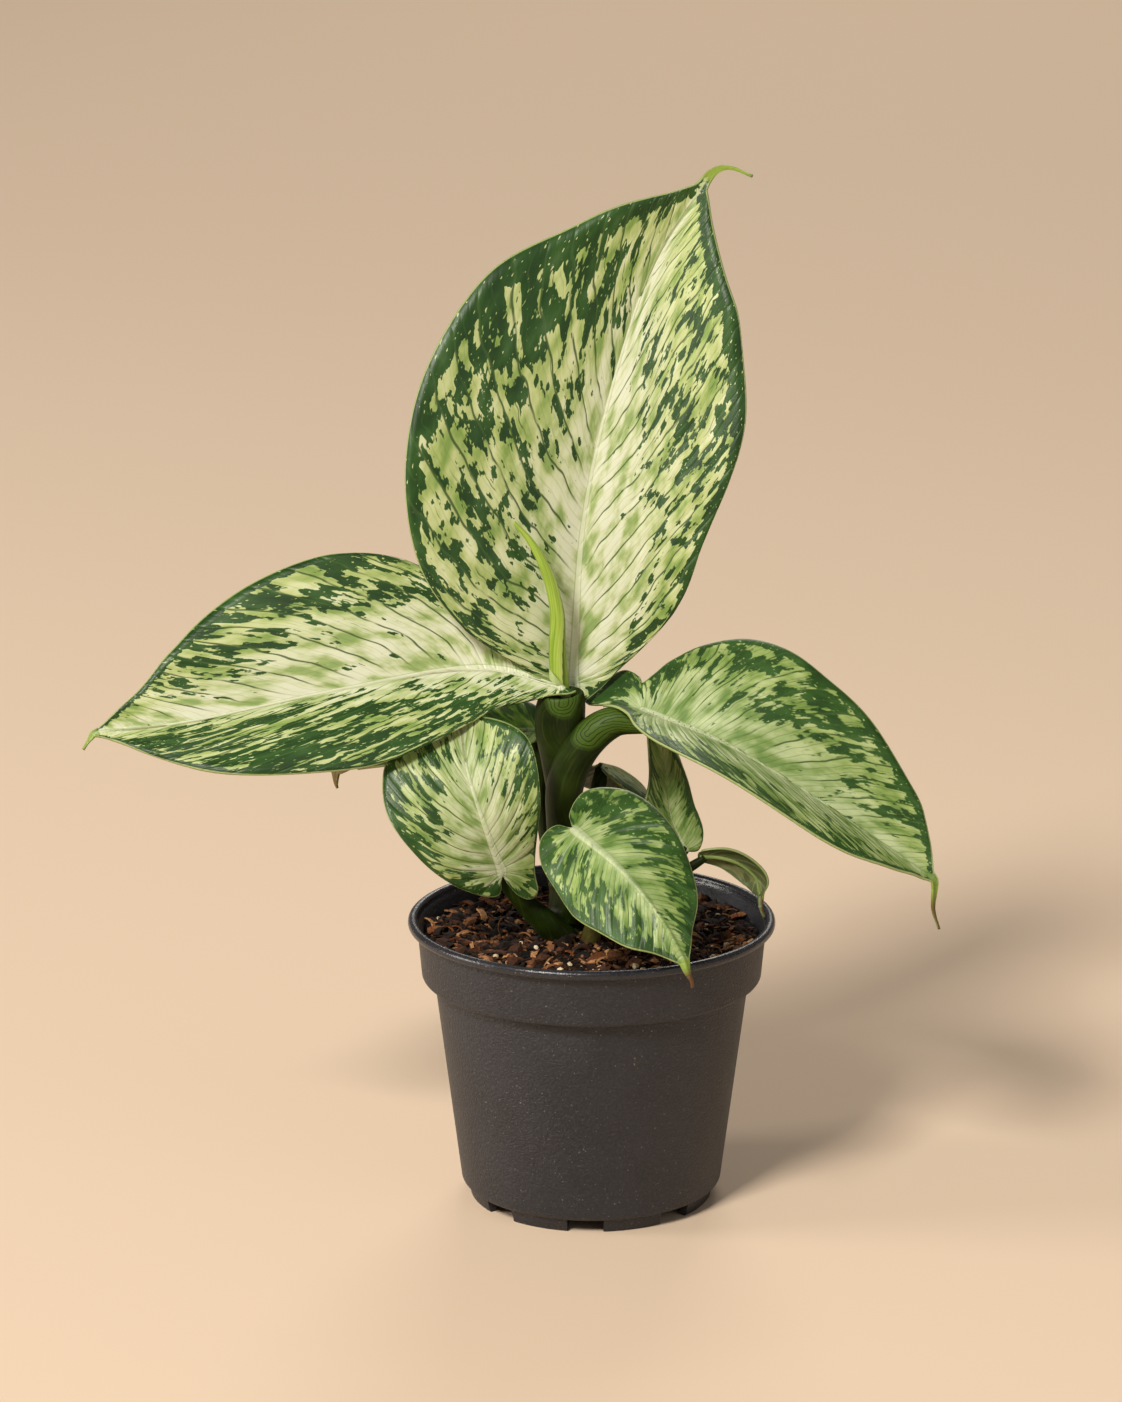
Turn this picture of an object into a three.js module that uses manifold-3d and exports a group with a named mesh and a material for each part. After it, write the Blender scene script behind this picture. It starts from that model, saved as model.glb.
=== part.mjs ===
// Potted dieffenbachia: pot, soil, main stem, nine leaves, one rolled new leaf, one old sheath.
// Millimetres, +Z up, the front of the plant faces -Y, the pot axis is the Z axis, the pot stands on Z = 0.
import * as THREE from 'three';
import ManifoldModule from 'manifold-3d';

const wasm = await ManifoldModule();
wasm.setup();
const { Manifold, Mesh: SolidMesh } = wasm;

// ---------- driving dimensions: pot and soil ----------
const POT_HEIGHT = 95;
const RIM_RADIUS = 60;         // outside of the rolled lip
const RIM_DEPTH = 3;           // lip, top to bottom
const COLLAR_TOP_RADIUS = 57;  // straight collar under the lip
const COLLAR_FOOT_RADIUS = 55.6;
const STEP_HEIGHT = 76;        // where the collar steps in to the body
const BODY_TOP_RADIUS = 51.5;
const BODY_FOOT_RADIUS = 42.9;
const FOOT_RADIUS = 40;
const FOOT_HEIGHT = 5;
const FOOT_WIDTH = 3;
const PAD_RADIUS = 8;          // round pad in the middle of the underside
const WALL = 1.6;
const FLOOR = 3;
const NOTCH_COUNT = 8;         // drainage gaps in the foot ring
const NOTCH_WIDTH = 12;
const POT_SIDES = 48;
const SOIL_TOP = 87.5;
const SOIL_GAP = 0.3;          // clearance of the soil in the pot and round each stem
const SOIL_BUMP = 1.6;
const CHIP_COUNT = 26;         // bark and perlite pieces grown into the soil

// ---------- driving dimensions: leaves ----------
const BLADE_THICKNESS = 0.8;
const GAP = 0.3;               // clearance between neighbouring stalks
const SPREAD = 2.4;            // how far the side veins sweep forward on their way to the margin

// Each leaf: rib = middle line of the blade from base to tip; face = direction its upper side looks, at
// the base and at the tip; left and right = the two halves, each with the lift from the rib (degrees), the
// curl to the margin (degrees) and the margin as [distance from the rib, distance along the rib]; stalk =
// [x, y, z, radius] from the stem to the blade; drip = fine point beyond the blade.
const LEAVES = {
  leaf_top: {
    rib: [[-6, 6, 171], [-3, 16, 220], [5, 26, 259], [19, 36, 301], [36, 40, 328]],
    face: [[0.3, -1, 0.1], [0.1, -0.95, 0.25]],
    left: { lift: 14, curl: 12, edge: [[0, 0], [12, 7], [27, 11], [43, 17], [57, 32], [64, 54], [62, 84], [51, 112], [28, 134], [10, 156], [2, 168]] },
    right: { lift: 35, curl: 12, edge: [[0, 0], [17, 7], [34, 23], [41, 44], [46, 70], [46, 94], [37, 119], [24, 142], [9, 160], [2, 168]] },
    stalk: [[-8, 1, 112, 3], [-8, 4, 135, 4.2], [-7, 6, 158, 3.8], [-6, 7.5, 173, 2.6]],
    ridge: 2.6, rows: 15,
    drip: [[38, 38, 331], [42, 36, 334], [51, 31, 333]],
  },
  leaf_left: {
    rib: [[-10, -3, 173], [-38, 0, 178], [-81, -8, 173], [-128, -17, 165], [-158, -20, 162]],
    face: [[0.1, -0.75, 0.65], [0, -0.7, 0.7]],
    left: { lift: 12, curl: 16, edge: [[0, 0], [5, 4], [11, 16], [18, 35], [25, 54], [30, 72], [28, 90], [22, 108], [14, 124], [6, 140], [2, 150]] },
    right: { lift: 24, curl: 10, edge: [[0, 0], [2, 8], [3, 18], [9, 28], [24, 41], [37, 54], [43, 70], [41, 86], [34, 102], [22, 117], [11, 134], [2, 150]] },
    stalk: [[-8, 0, 112, 3], [-9.5, -1, 138, 5], [-10.5, -2, 156, 7], [-11, -2, 168, 7.8], [-13, -2.5, 173, 5], [-17, -2.8, 174.5, 2.6]],
    ridge: 2.2, rows: 14,
    drip: [[-160, -21, 160], [-162, -22, 157]],
  },
  leaf_right: {
    rib: [[16, -8, 166], [45, -22, 157], [81, -30, 136], [108, -36, 118]],
    face: [[0.3, -0.45, 0.8], [0.4, -0.6, 0.7]],
    left: { lift: 30, curl: 16, edge: [[0, 0], [2, -10], [5, -16], [11, -14], [14, -7], [9, -1], [14, -2], [22, 0], [31, 7], [38, 20], [40, 37], [37, 52], [31, 68], [21, 87], [10, 100], [2, 108]] },
    right: { lift: 26, curl: 14, edge: [[0, 0], [4, -6], [10, -4], [16, 4], [20, 14], [22, 26], [22, 40], [22, 57], [20, 74], [15, 87], [7, 100], [2, 108]] },
    stalk: [[-8, -1, 110, 4.5], [-9, -4, 130, 5.2], [-6, -6, 146, 6.2], [1, -7, 156, 5.6], [10, -8, 161.5, 3.8], [19, -10, 163.5, 2.4]],
    ridge: 2.4, rows: 18,
    drip: [[108, -37, 109], [110, -37, 102]],
  },
  leaf_low_left: {
    rib: [[-29, -23, 116], [-35, -27, 135], [-40, -22, 151], [-42, -11, 163]],
    face: [[0.15, -0.8, 0.6], [-0.05, -0.95, 0.3]],
    left: { lift: 6, curl: 14, edge: [[0, 0], [4, -6], [12, -1], [20, 9], [26, 22], [28, 34], [24, 44], [14, 51], [5, 56], [1.5, 58]] },
    right: { lift: 16, curl: 14, edge: [[0, 0], [5, -6], [12, -3], [17, 9], [20, 21], [22, 34], [20, 44], [12, 52], [5, 56], [1.5, 58]] },
    stalk: [[-7, -2, 88, 4.4], [-10, -9, 91, 4.6], [-16, -15, 98, 4], [-23, -18, 106, 3.2], [-30, -22.5, 117, 2.2]],
    ridge: 2, rows: 11, drip: [],
  },
  leaf_low_right: {
    rib: [[-6, -26, 132], [9, -45, 124], [21, -57, 112], [29, -63, 100]],
    face: [[0, -0.8, 0.6], [0.4, -0.8, 0.5]],
    left: { lift: -4, curl: 16, edge: [[0, 0], [3, -6], [11, -10], [19, -5], [24, 4], [25, 15], [22, 28], [16, 39], [8, 52], [2, 62]] },
    right: { lift: -12, curl: 16, edge: [[0, 0], [3, -6], [9, -7], [15, -2], [19, 7], [21, 19], [19, 30], [14, 43], [7, 54], [2, 62]] },
    stalk: [[-6, -4, 96, 4], [-5, -13, 108, 3.6], [-6, -21, 122, 3], [-5, -26, 130, 2.2]],
    ridge: 2, rows: 11,
    drip: [[31, -64, 93]],
  },
  leaf_side_right: {
    rib: [[31, 13, 113], [26, 15, 124], [24, 15, 139], [18, 15, 164]],
    face: [[-0.15, -0.95, 0.2], [-0.05, -0.95, 0.2]],
    left: { lift: 38, curl: 10, edge: [[0, 0], [6, -2], [10, 7], [11, 18], [8, 30], [5, 40], [1.5, 52]] },
    right: { lift: 20, curl: 10, edge: [[0, 0], [5, -1], [9, 5], [10, 15], [9, 27], [6, 39], [1.5, 52]] },
    stalk: [[-4, 3, 90, 3.4], [12, 8, 98, 3], [25, 12, 107, 2.4], [31, 14, 114, 1.8]],
    ridge: 1.6, rows: 10, drip: [],
  },
  leaf_curled_right: {
    rib: [[35, 4, 114], [45, 4, 113], [53, 2, 108], [55, 0, 102]],
    face: [[0, 0.8, 0.6], [0.5, 0.8, 0.2]],
    left: { lift: 15, curl: 25, edge: [[0, 0], [3.5, 2], [4, 9], [4, 17], [3, 23], [1.2, 27]] },
    right: { lift: 15, curl: 25, edge: [[0, 0], [3.5, 2], [4, 9], [4, 17], [3, 23], [1.2, 27]] },
    stalk: [[-2, -4, 91, 3], [14, -1, 97, 2.6], [27, 2, 107, 2], [37, 3.6, 113.4, 1.3]],
    ridge: 1.2, rows: 9,
    drip: [[57, -2, 99]],
  },
  leaf_back_left: {
    rib: [[-17, 12, 154], [-38, 17, 153], [-62, 24, 147], [-80, 27, 138], [-83, 26, 129]],
    face: [[0, -0.45, 0.9], [-0.3, -0.5, 0.8]],
    left: { lift: 10, curl: 14, edge: [[0, 0], [6, 0], [12, 9], [15, 24], [15, 42], [12, 58], [7, 68], [1.5, 76]] },
    right: { lift: 18, curl: 14, edge: [[0, 0], [8, 0], [15, 10], [19, 26], [18, 44], [13, 58], [7, 68], [1.5, 76]] },
    stalk: [[-10, 4, 98, 3], [-15, 9, 124, 3], [-17, 11, 143, 2.6], [-19, 12, 153, 2]],
    ridge: 1.8, rows: 12, drip: [],
  },
  leaf_back_right: {
    rib: [[3, 14, 142], [10, 27, 136], [18, 41, 125], [23, 49, 108]],
    face: [[0.2, 0.3, 0.95], [0.5, 0.6, 0.6]],
    left: { lift: -32, curl: -14, edge: [[0, 0], [4, -3], [10, -1], [15, 9], [16, 24], [12, 40], [5, 53], [1.5, 60]] },
    right: { lift: -32, curl: -14, edge: [[0, 0], [4, -3], [10, -1], [15, 9], [16, 24], [12, 40], [5, 53], [1.5, 60]] },
    stalk: [[-6, 4, 98, 3], [-1, 9, 120, 3], [2, 12, 134, 2.6], [3.5, 15, 141, 2]],
    ridge: 1.8, rows: 12, drip: [],
  },
};

// stems without a blade: [x, y, z, radius]
const CANE = [[-8, 0, 78, 6.6], [-8, 0, 88, 6.4], [-8, 0, 104, 5.8], [-8, 0, 118, 5]];
const CANE_RING_STEP = 7;      // leaf scars
const NEW_LEAF = [[-9, 1, 134, 2.4], [-9.5, 1, 158, 3], [-10, 1, 171, 3.1], [-11, 0, 184, 3], [-11, -1, 196, 2.6], [-13, -2, 206, 2.1], [-16, -3, 214, 1.6], [-20, -3, 221, 1.1], [-25, -3, 227, 0.5]];
const OLD_SHEATH = [[-1, -7, 84, 3.2], [0, -9, 92, 3], [1, -10.5, 98, 1.4]];
const STEM_SIDES = 10;
const RIDGE_SIDES = 6;

// ---------- helpers ----------
const vec = (a) => new THREE.Vector3(a[0], a[1], a[2]);
const curveOf = (points) => new THREE.CatmullRomCurve3(points.map(vec), false, 'catmullrom', 0.5);

function solidFrom(vertices, faces) {
  const mesh = new SolidMesh({ numProp: 3, vertProperties: new Float32Array(vertices.flat()), triVerts: new Uint32Array(faces.flat()) });
  mesh.merge();
  return new Manifold(mesh);
}

// round rod through [x, y, z, radius] points, closed at both ends
function rod(points, sides, rings) {
  const path = curveOf(points);
  const radii = new THREE.CatmullRomCurve3(points.map((p) => new THREE.Vector3(p[3], 0, 0)), false, 'catmullrom', 0.5);
  const vertices = [], faces = [];
  let across = new THREE.Vector3(1, 0, 0);
  for (let i = 0; i <= rings; i++) {
    const t = i / rings;
    const centre = path.getPoint(t), along = path.getTangent(t), radius = radii.getPoint(t).x;
    across = across.clone().addScaledVector(along, -across.dot(along)).normalize();
    const beside = new THREE.Vector3().crossVectors(along, across);
    for (let k = 0; k < sides; k++) {
      const a = (2 * Math.PI * k) / sides;
      const p = centre.clone().addScaledVector(across, radius * Math.cos(a)).addScaledVector(beside, radius * Math.sin(a));
      vertices.push([p.x, p.y, p.z]);
    }
  }
  const first = vertices.push(path.getPoint(0).toArray()) - 1;
  const last = vertices.push(path.getPoint(1).toArray()) - 1;
  for (let i = 0; i < rings; i++) {
    for (let k = 0; k < sides; k++) {
      const a = i * sides + k, b = i * sides + ((k + 1) % sides), c = a + sides, d = b + sides;
      faces.push([a, b, d], [a, d, c]);
    }
  }
  for (let k = 0; k < sides; k++) {
    const n = (k + 1) % sides, top = rings * sides;
    faces.push([first, n, k], [last, top + k, top + n]);
  }
  return solidFrom(vertices, faces);
}

// biggest piece of a cut solid
function mainBody(solid) {
  return solid.decompose().reduce((best, piece) => (piece.volume() > best.volume() ? piece : best));
}

// ---------- one leaf ----------
function bladeSurface(leaf) {
  const rib = curveOf(leaf.rib);
  const steps = 60;
  let length = 0, before = rib.getPoint(0);
  for (let i = 1; i <= steps; i++) {
    const here = rib.getPoint(i / steps);
    length += here.distanceTo(before);
    before = here;
  }
  const faceBase = vec(leaf.face[0]).normalize(), faceTip = vec(leaf.face[1]).normalize();
  const frame = (t) => {
    const inside = Math.min(Math.max(t, 0), 1);
    const along = rib.getTangent(inside);
    const point = rib.getPoint(inside).addScaledVector(along, (t - inside) * length);
    const up = faceBase.clone().lerp(faceTip, inside);
    up.addScaledVector(along, -up.dot(along)).normalize();
    return { point, along, up, across: new THREE.Vector3().crossVectors(along, up) };
  };
  // x = distance from the rib (negative on the left half), y = distance along the rib
  const place = (x, y, side) => {
    const half = side > 0 ? leaf.right : leaf.left;
    const width = Math.max(...half.edge.map((e) => e[0]));
    const f = frame(y / length);
    const bend = (THREE.MathUtils.degToRad(half.curl) * x) / width;
    const chord = Math.abs(bend) > 1e-6 ? (x * Math.sin(bend / 2)) / (bend / 2) : x;
    const angle = THREE.MathUtils.degToRad(half.lift) - bend / 2;
    return f.point.addScaledVector(f.across, side * chord * Math.cos(angle)).addScaledVector(f.up, chord * Math.sin(angle));
  };
  return { length, frame, place };
}

// point of the blade on side vein u (0 base, 1 tip), at v of the way from the rib to the margin
function veinPoint(leaf, surface, margins, u, v, side) {
  const m = margins[side > 0 ? 1 : 0].getPoint(u);
  const root = surface.length * u ** SPREAD;
  const bend = [0.6 * m.x, root + 0.3 * (m.y - root)];
  const x = 2 * (1 - v) * v * bend[0] + v * v * m.x;
  const y = (1 - v) ** 2 * root + 2 * (1 - v) * v * bend[1] + v * v * m.y;
  return [x, y];
}

function blade(leaf, surface) {
  const margins = [leaf.left, leaf.right].map((half) => curveOf(half.edge.map((e) => [e[0], e[1], 0])));
  const across = leaf.rows > 12 ? 4 : 3; // facets from the rib to the margin
  const columns = 2 * across + 1;
  const upper = [], lower = [];
  for (let r = 0; r <= leaf.rows; r++) {
    const u = 0.05 + (0.94 * r) / leaf.rows;
    for (let c = -across; c <= across; c++) {
      const side = c < 0 ? -1 : 1, v = Math.abs(c) / across;
      const [x, y] = veinPoint(leaf, surface, margins, u, v, side);
      const p = surface.place(x, y, side);
      const ahead = surface.place(x, y + 0.5, side).sub(surface.place(x, y - 0.5, side));
      const out = surface.place(x + 0.5, y, side).sub(surface.place(Math.max(x - 0.5, 0), y, side)).multiplyScalar(side);
      const up = c === 0 ? surface.frame(y / surface.length).up : new THREE.Vector3().crossVectors(out, ahead).normalize();
      upper.push(p.clone().addScaledVector(up, BLADE_THICKNESS / 2).toArray());
      lower.push(p.clone().addScaledVector(up, -BLADE_THICKNESS / 2).toArray());
    }
  }
  const count = upper.length, faces = [];
  for (let r = 0; r < leaf.rows; r++) {
    for (let c = 0; c < columns - 1; c++) {
      const a = r * columns + c, b = a + 1, d = a + columns, e = d + 1;
      const quads = c < across ? [[a, b, d], [b, e, d]] : [[a, b, e], [a, e, d]];
      for (const q of quads) faces.push(q, [q[0] + count, q[2] + count, q[1] + count]);
    }
    for (const c of [0, columns - 1]) {
      const a = r * columns + c, d = a + columns;
      faces.push(...(c === 0 ? [[a, d, d + count], [a, d + count, a + count]] : [[a, d + count, d], [a, a + count, d + count]]));
    }
  }
  for (let c = 0; c < columns - 1; c++) {
    const a = c, b = c + 1, d = leaf.rows * columns + c, e = d + 1;
    faces.push([a, b + count, b], [a, a + count, b + count], [d, e, e + count], [d, e + count, d + count]);
  }
  return solidFrom([...upper, ...lower], faces);
}

function leafSolid(leaf) {
  const surface = bladeSurface(leaf);
  const ridge = [0.02, 0.2, 0.45, 0.7, 0.9, 1].map((t) => {
    const f = surface.frame(t);
    const radius = leaf.ridge + (0.6 - leaf.ridge) * t;
    return [...f.point.addScaledVector(f.up, 0.2 - radius).toArray(), radius];
  });
  leaf.drip.forEach((p, i) => ridge.push([...p, 0.55 - 0.15 * (i / leaf.drip.length)]));
  const solid = blade(leaf, surface);
  return solid.add(rod(ridge, RIDGE_SIDES, leaf.rows)).add(rod(leaf.stalk, STEM_SIDES, 9));
}

// ---------- stems ----------
function caneSolid() {
  let cane = rod(CANE, 16, 12);
  for (let z = 90; z < 116; z += CANE_RING_STEP) {
    const radius = 6.5 - (z - 88) * 0.045;
    cane = cane.add(Manifold.cylinder(0.9, radius, radius, 16, true).translate([-8, 0, z]));
  }
  return cane;
}

// solids grow 0.3 mm outward here so that the neighbour cut with them keeps a clear gap
const swell = (points, by) => points.map(([x, y, z, r]) => [x, y, z, r + by]);
const stemRods = {
  cane: swell(CANE, GAP + 0.45),
  new_leaf: swell(NEW_LEAF, GAP),
  ...Object.fromEntries(Object.entries(LEAVES).map(([name, leaf]) => [name, swell(leaf.stalk, GAP)])),
};
const cutters = Object.fromEntries(Object.entries(stemRods).map(([name, points]) => [name, rod(points, STEM_SIDES, 9)]));
cutters.cane = cutters.cane.add(Manifold.cylinder(GAP, 7, 7, 16).translate([-8, 0, 118]));

const parts = { cane: caneSolid(), new_leaf: rod(NEW_LEAF, STEM_SIDES, 24) };
const order = ['cane', 'new_leaf', ...Object.keys(LEAVES)];
for (const [name, leaf] of Object.entries(LEAVES)) {
  let solid = leafSolid(leaf);
  for (const inner of order.slice(0, order.indexOf(name))) solid = solid.subtract(cutters[inner]);
  parts[name] = mainBody(solid);
}
let oldSheath = rod(OLD_SHEATH, 10, 8);
for (const cutter of Object.values(cutters)) oldSheath = oldSheath.subtract(cutter);
parts.old_sheath = mainBody(oldSheath);

// ---------- soil ----------
function chance(n) {
  const s = Math.sin(n * 12.9898 + 4.1414) * 43758.5453;
  return s - Math.floor(s);
}

function soilSolid() {
  const stepInner = BODY_TOP_RADIUS - WALL - SOIL_GAP;
  const collarInner = COLLAR_FOOT_RADIUS - WALL - SOIL_GAP;
  const rings = 7, sides = 36;
  const profile = [[BODY_FOOT_RADIUS - WALL - SOIL_GAP, FOOT_HEIGHT + FLOOR + SOIL_GAP], [stepInner, STEP_HEIGHT - 1], [collarInner, STEP_HEIGHT + 2.5], [collarInner + 0.7, SOIL_TOP - 1]];
  const vertices = [[0, 0, profile[0][1]]], faces = [];
  for (const [r, z] of profile) for (let k = 0; k < sides; k++) vertices.push([r * Math.cos((2 * Math.PI * k) / sides), r * Math.sin((2 * Math.PI * k) / sides), z]);
  const rimStart = 1 + (profile.length - 1) * sides;
  for (let i = rings - 1; i >= 1; i--) {
    const r = ((collarInner + 0.7) * i) / rings;
    for (let k = 0; k < sides; k++) {
      const a = (2 * Math.PI * k) / sides;
      const bump = SOIL_BUMP * (Math.sin(r * 0.31 + 2 * a) * Math.cos(3 * a - r * 0.17) + 0.5 * (chance(i * 61 + k) - 0.5));
      vertices.push([r * Math.cos(a), r * Math.sin(a), SOIL_TOP + bump]);
    }
  }
  const centre = vertices.push([0, 0, SOIL_TOP]) - 1;
  for (let k = 0; k < sides; k++) faces.push([0, 1 + ((k + 1) % sides), 1 + k]);
  const bands = profile.length - 1 + rings - 1;
  for (let i = 0; i < bands; i++) {
    for (let k = 0; k < sides; k++) {
      const a = 1 + i * sides + k, b = 1 + i * sides + ((k + 1) % sides), c = a + sides, d = b + sides;
      faces.push([a, b, d], [a, d, c]);
    }
  }
  const lastRing = rimStart + (rings - 1) * sides;
  for (let k = 0; k < sides; k++) faces.push([lastRing + k, lastRing + ((k + 1) % sides), centre]);
  let soil = solidFrom(vertices, faces);
  for (let n = 0; n < CHIP_COUNT; n++) {
    const a = 2.399963 * n, r = 50 * Math.sqrt((n + 0.5) / CHIP_COUNT);
    const chip = Manifold.cube([2 + 4 * chance(n), 1.6 + 2 * chance(n + 50), 1.4 + chance(n + 90)], true)
      .rotate([30 * chance(n + 7), 30 * chance(n + 8), 360 * chance(n + 9)])
      .translate([r * Math.cos(a), r * Math.sin(a), SOIL_TOP + 0.8 * SOIL_BUMP * chance(n + 20)]);
    soil = soil.add(chip);
  }
  return soil;
}

let soil = soilSolid();
for (const cutter of Object.values(cutters)) soil = soil.subtract(cutter);
soil = soil.subtract(rod(swell(OLD_SHEATH, GAP), 10, 8));
soil = soil.subtract(Manifold.cylinder(20, 7.2, 7.2, 16).translate([-8, 0, 77.7]));
parts.soil = mainBody(soil);

// ---------- pot ----------
function potSolid() {
  const top = POT_HEIGHT, lipFoot = top - RIM_DEPTH, floorTop = FOOT_HEIGHT + FLOOR;
  const outline = [
    [0, FOOT_HEIGHT], [FOOT_RADIUS - FOOT_WIDTH, FOOT_HEIGHT], [FOOT_RADIUS - FOOT_WIDTH, 0], [FOOT_RADIUS, 0], [FOOT_RADIUS + 0.6, FOOT_HEIGHT - 2],
    [BODY_FOOT_RADIUS - 1.2, FOOT_HEIGHT - 1], [BODY_FOOT_RADIUS, FOOT_HEIGHT + 1.2], [BODY_TOP_RADIUS, STEP_HEIGHT - 2],
    [BODY_TOP_RADIUS + 0.6, STEP_HEIGHT - 0.8], [COLLAR_FOOT_RADIUS - 1, STEP_HEIGHT], [COLLAR_FOOT_RADIUS, STEP_HEIGHT + 1],
    [COLLAR_TOP_RADIUS, lipFoot], [RIM_RADIUS - 0.7, lipFoot], [RIM_RADIUS, lipFoot + 0.8], [RIM_RADIUS, top - 1], [RIM_RADIUS - 0.8, top - 0.2], [RIM_RADIUS - 1.6, top],
    [COLLAR_TOP_RADIUS + 0.6, top - 0.2], [COLLAR_TOP_RADIUS - 0.4, top - 1.2], [COLLAR_TOP_RADIUS - WALL + 0.2, lipFoot - 1],
    [COLLAR_FOOT_RADIUS - WALL, STEP_HEIGHT + 2], [BODY_TOP_RADIUS - WALL, STEP_HEIGHT - 1], [BODY_FOOT_RADIUS - WALL, floorTop], [0, floorTop],
  ];
  let pot = Manifold.revolve([outline], POT_SIDES);
  pot = pot.add(Manifold.cylinder(FOOT_HEIGHT + 1, PAD_RADIUS, PAD_RADIUS, 32));
  for (let i = 0; i < NOTCH_COUNT; i++) {
    const notch = Manifold.cube([10, NOTCH_WIDTH, 2 * FOOT_HEIGHT - 1], true).translate([FOOT_RADIUS, 0, 0]);
    pot = pot.subtract(notch.rotate([0, 0, -90 + (360 * i) / NOTCH_COUNT]));
  }
  return pot;
}
parts.pot = potSolid();

// ---------- the group ----------
const FINISH = {
  pot: { color: 0x2c2c2e, roughness: 0.5 }, soil: { color: 0x3b2a20, roughness: 0.95 }, cane: { color: 0x5a7038, roughness: 0.5 },
  old_sheath: { color: 0x8a7a48, roughness: 0.7 }, new_leaf: { color: 0xa8c858, roughness: 0.35 },
};
const LEAF_FINISH = { color: 0x5f8c4a, roughness: 0.4 };
const group = new THREE.Group();
group.name = 'potted_dieffenbachia';
for (const name of ['pot', 'soil', 'cane', 'old_sheath', ...Object.keys(LEAVES), 'new_leaf']) {
  const { vertProperties, triVerts } = parts[name].getMesh();
  const geometry = new THREE.BufferGeometry();
  geometry.setAttribute('position', new THREE.BufferAttribute(new Float32Array(vertProperties), 3));
  geometry.setIndex(new THREE.BufferAttribute(new Uint32Array(triVerts), 1));
  geometry.computeVertexNormals();
  const mesh = new THREE.Mesh(geometry, new THREE.MeshStandardMaterial({ metalness: 0, ...(FINISH[name] ?? LEAF_FINISH) }));
  mesh.name = name;
  group.add(mesh);
}

export default group;
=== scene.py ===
# %% [markdown]
# # A potted dieffenbachia
# The plant stands in a round nursery pot. The plain solids of every part are loaded first, as a frame that
# gives each piece its place and size. Then each solid is dressed: leaves with veins and patches, stalks,
# a rolled new leaf, loose soil, and the moulded pot.

# %% Load the frame
import math
import random

import bmesh
import bpy
from mathutils import Euler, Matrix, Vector, noise


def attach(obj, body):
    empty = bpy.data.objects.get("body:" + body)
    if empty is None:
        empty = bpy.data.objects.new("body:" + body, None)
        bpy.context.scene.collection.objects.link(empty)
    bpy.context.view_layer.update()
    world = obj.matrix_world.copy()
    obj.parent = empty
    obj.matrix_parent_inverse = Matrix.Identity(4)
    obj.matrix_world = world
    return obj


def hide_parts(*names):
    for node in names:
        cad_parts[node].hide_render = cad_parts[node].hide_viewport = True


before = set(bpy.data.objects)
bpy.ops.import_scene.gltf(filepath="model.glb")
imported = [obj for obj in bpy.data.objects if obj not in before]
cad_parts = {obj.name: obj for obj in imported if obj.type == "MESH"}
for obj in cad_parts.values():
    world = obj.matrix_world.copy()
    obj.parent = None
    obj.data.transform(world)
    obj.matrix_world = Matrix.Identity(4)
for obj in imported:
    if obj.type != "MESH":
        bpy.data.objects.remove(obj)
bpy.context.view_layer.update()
MM = 0.001
print("solids:", ", ".join(sorted(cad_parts)))

# %% [markdown]
# ## Leaf dimensions
# A leaf is drawn as a gardener would measure it, in millimetres and degrees, because each number can then be
# read off the plant. The solids were shaped from the same kind of measurements, so a dressed leaf lies within
# a few millimetres of its solid.
#
# - `rib` runs in space from the stalk to the tip, and `face` is where the upper side looks, at both ends.
# - `left` and `right` are the halves, seen from above with the tip ahead. Their `edge` is the margin: how
#   far each point is from the rib, and how far along it. A half rises from the rib by `lift` and turns down
#   by `curl` on its way out. `band` is its dark rim, and `pale` the share of it that is mostly pale.
# - `stalk` is a line of points with radii, `ridge` the radius of the rib, and `drip` the line of the tip.
# - `tone` darkens the pattern, `green` makes it greener and less milky, and `detail` is the rows of mesh.

# %% The leaves, one by one
LEAVES = {}
LEAVES["leaf_top"] = dict(
    rib=[(-6, 6, 171), (-3, 16, 220), (5, 26, 259), (19, 36, 301), (37, 40, 330.5)],
    face=[(0.3, -1, 0.1), (0.1, -0.95, 0.25)],
    left=dict(band=7, pale=0.28, lift=14, curl=12, edge=[
        (0, -9), (9, -1.5), (27, 8.5), (43, 17), (57, 32), (64, 54), (62, 84), (51, 112), (28, 134),
        (10, 156), (2, 168),
    ]),
    right=dict(band=7, pale=0.45, lift=35, curl=12, edge=[
        (0, -9), (13, 3), (34, 23), (41, 44), (46, 70), (46, 94), (37, 119), (24, 142), (9, 160), (2, 168),
    ]),
    stalk=[(-8, 1, 112, 3), (-8, 4, 135, 4.2), (-7, 7, 158, 3.8), (-6, 9.6, 171, 2.2)],
    ridge=2.6, drip=[(40.5, 38, 334), (45, 35.5, 335), (51.5, 31, 333)], strap=1.1, fine=0.8, tone=-0.008,
    green=0.0, detail=200,
)
LEAVES["leaf_left"] = dict(
    rib=[(-10, -3, 173), (-38, 0, 178), (-81, -8, 173), (-128, -17, 165), (-158, -20, 162)],
    face=[(0.1, -0.75, 0.65), (0, -0.7, 0.7)],
    left=dict(band=1.5, pale=0.22, lift=12, curl=16, edge=[
        (0, -6), (2.6, -3), (5, 4), (11, 16), (18, 35), (25, 54), (30, 72), (28, 90), (22, 108), (14, 124),
        (6, 140), (2, 150),
    ]),
    right=dict(band=2.5, pale=0.56, shoulder=18, lift=24, curl=10, edge=[
        (0, 0), (0.5, 9), (1.4, 18), (5, 28), (21, 41), (37, 54), (43, 70), (41, 86), (34, 102), (22, 117),
        (11, 134), (2, 150),
    ]),
    stalk=[(-10, -2.4, 158, 4), (-10.4, -2.6, 164, 3.6), (-12, -2.8, 168, 2.6), (-19, -2.4, 171.4, 2)],
    ridge=2.2, drip=[(-160, -21, 160), (-162, -22, 157)], tone=0.022, green=0.0, detail=190,
)
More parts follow.
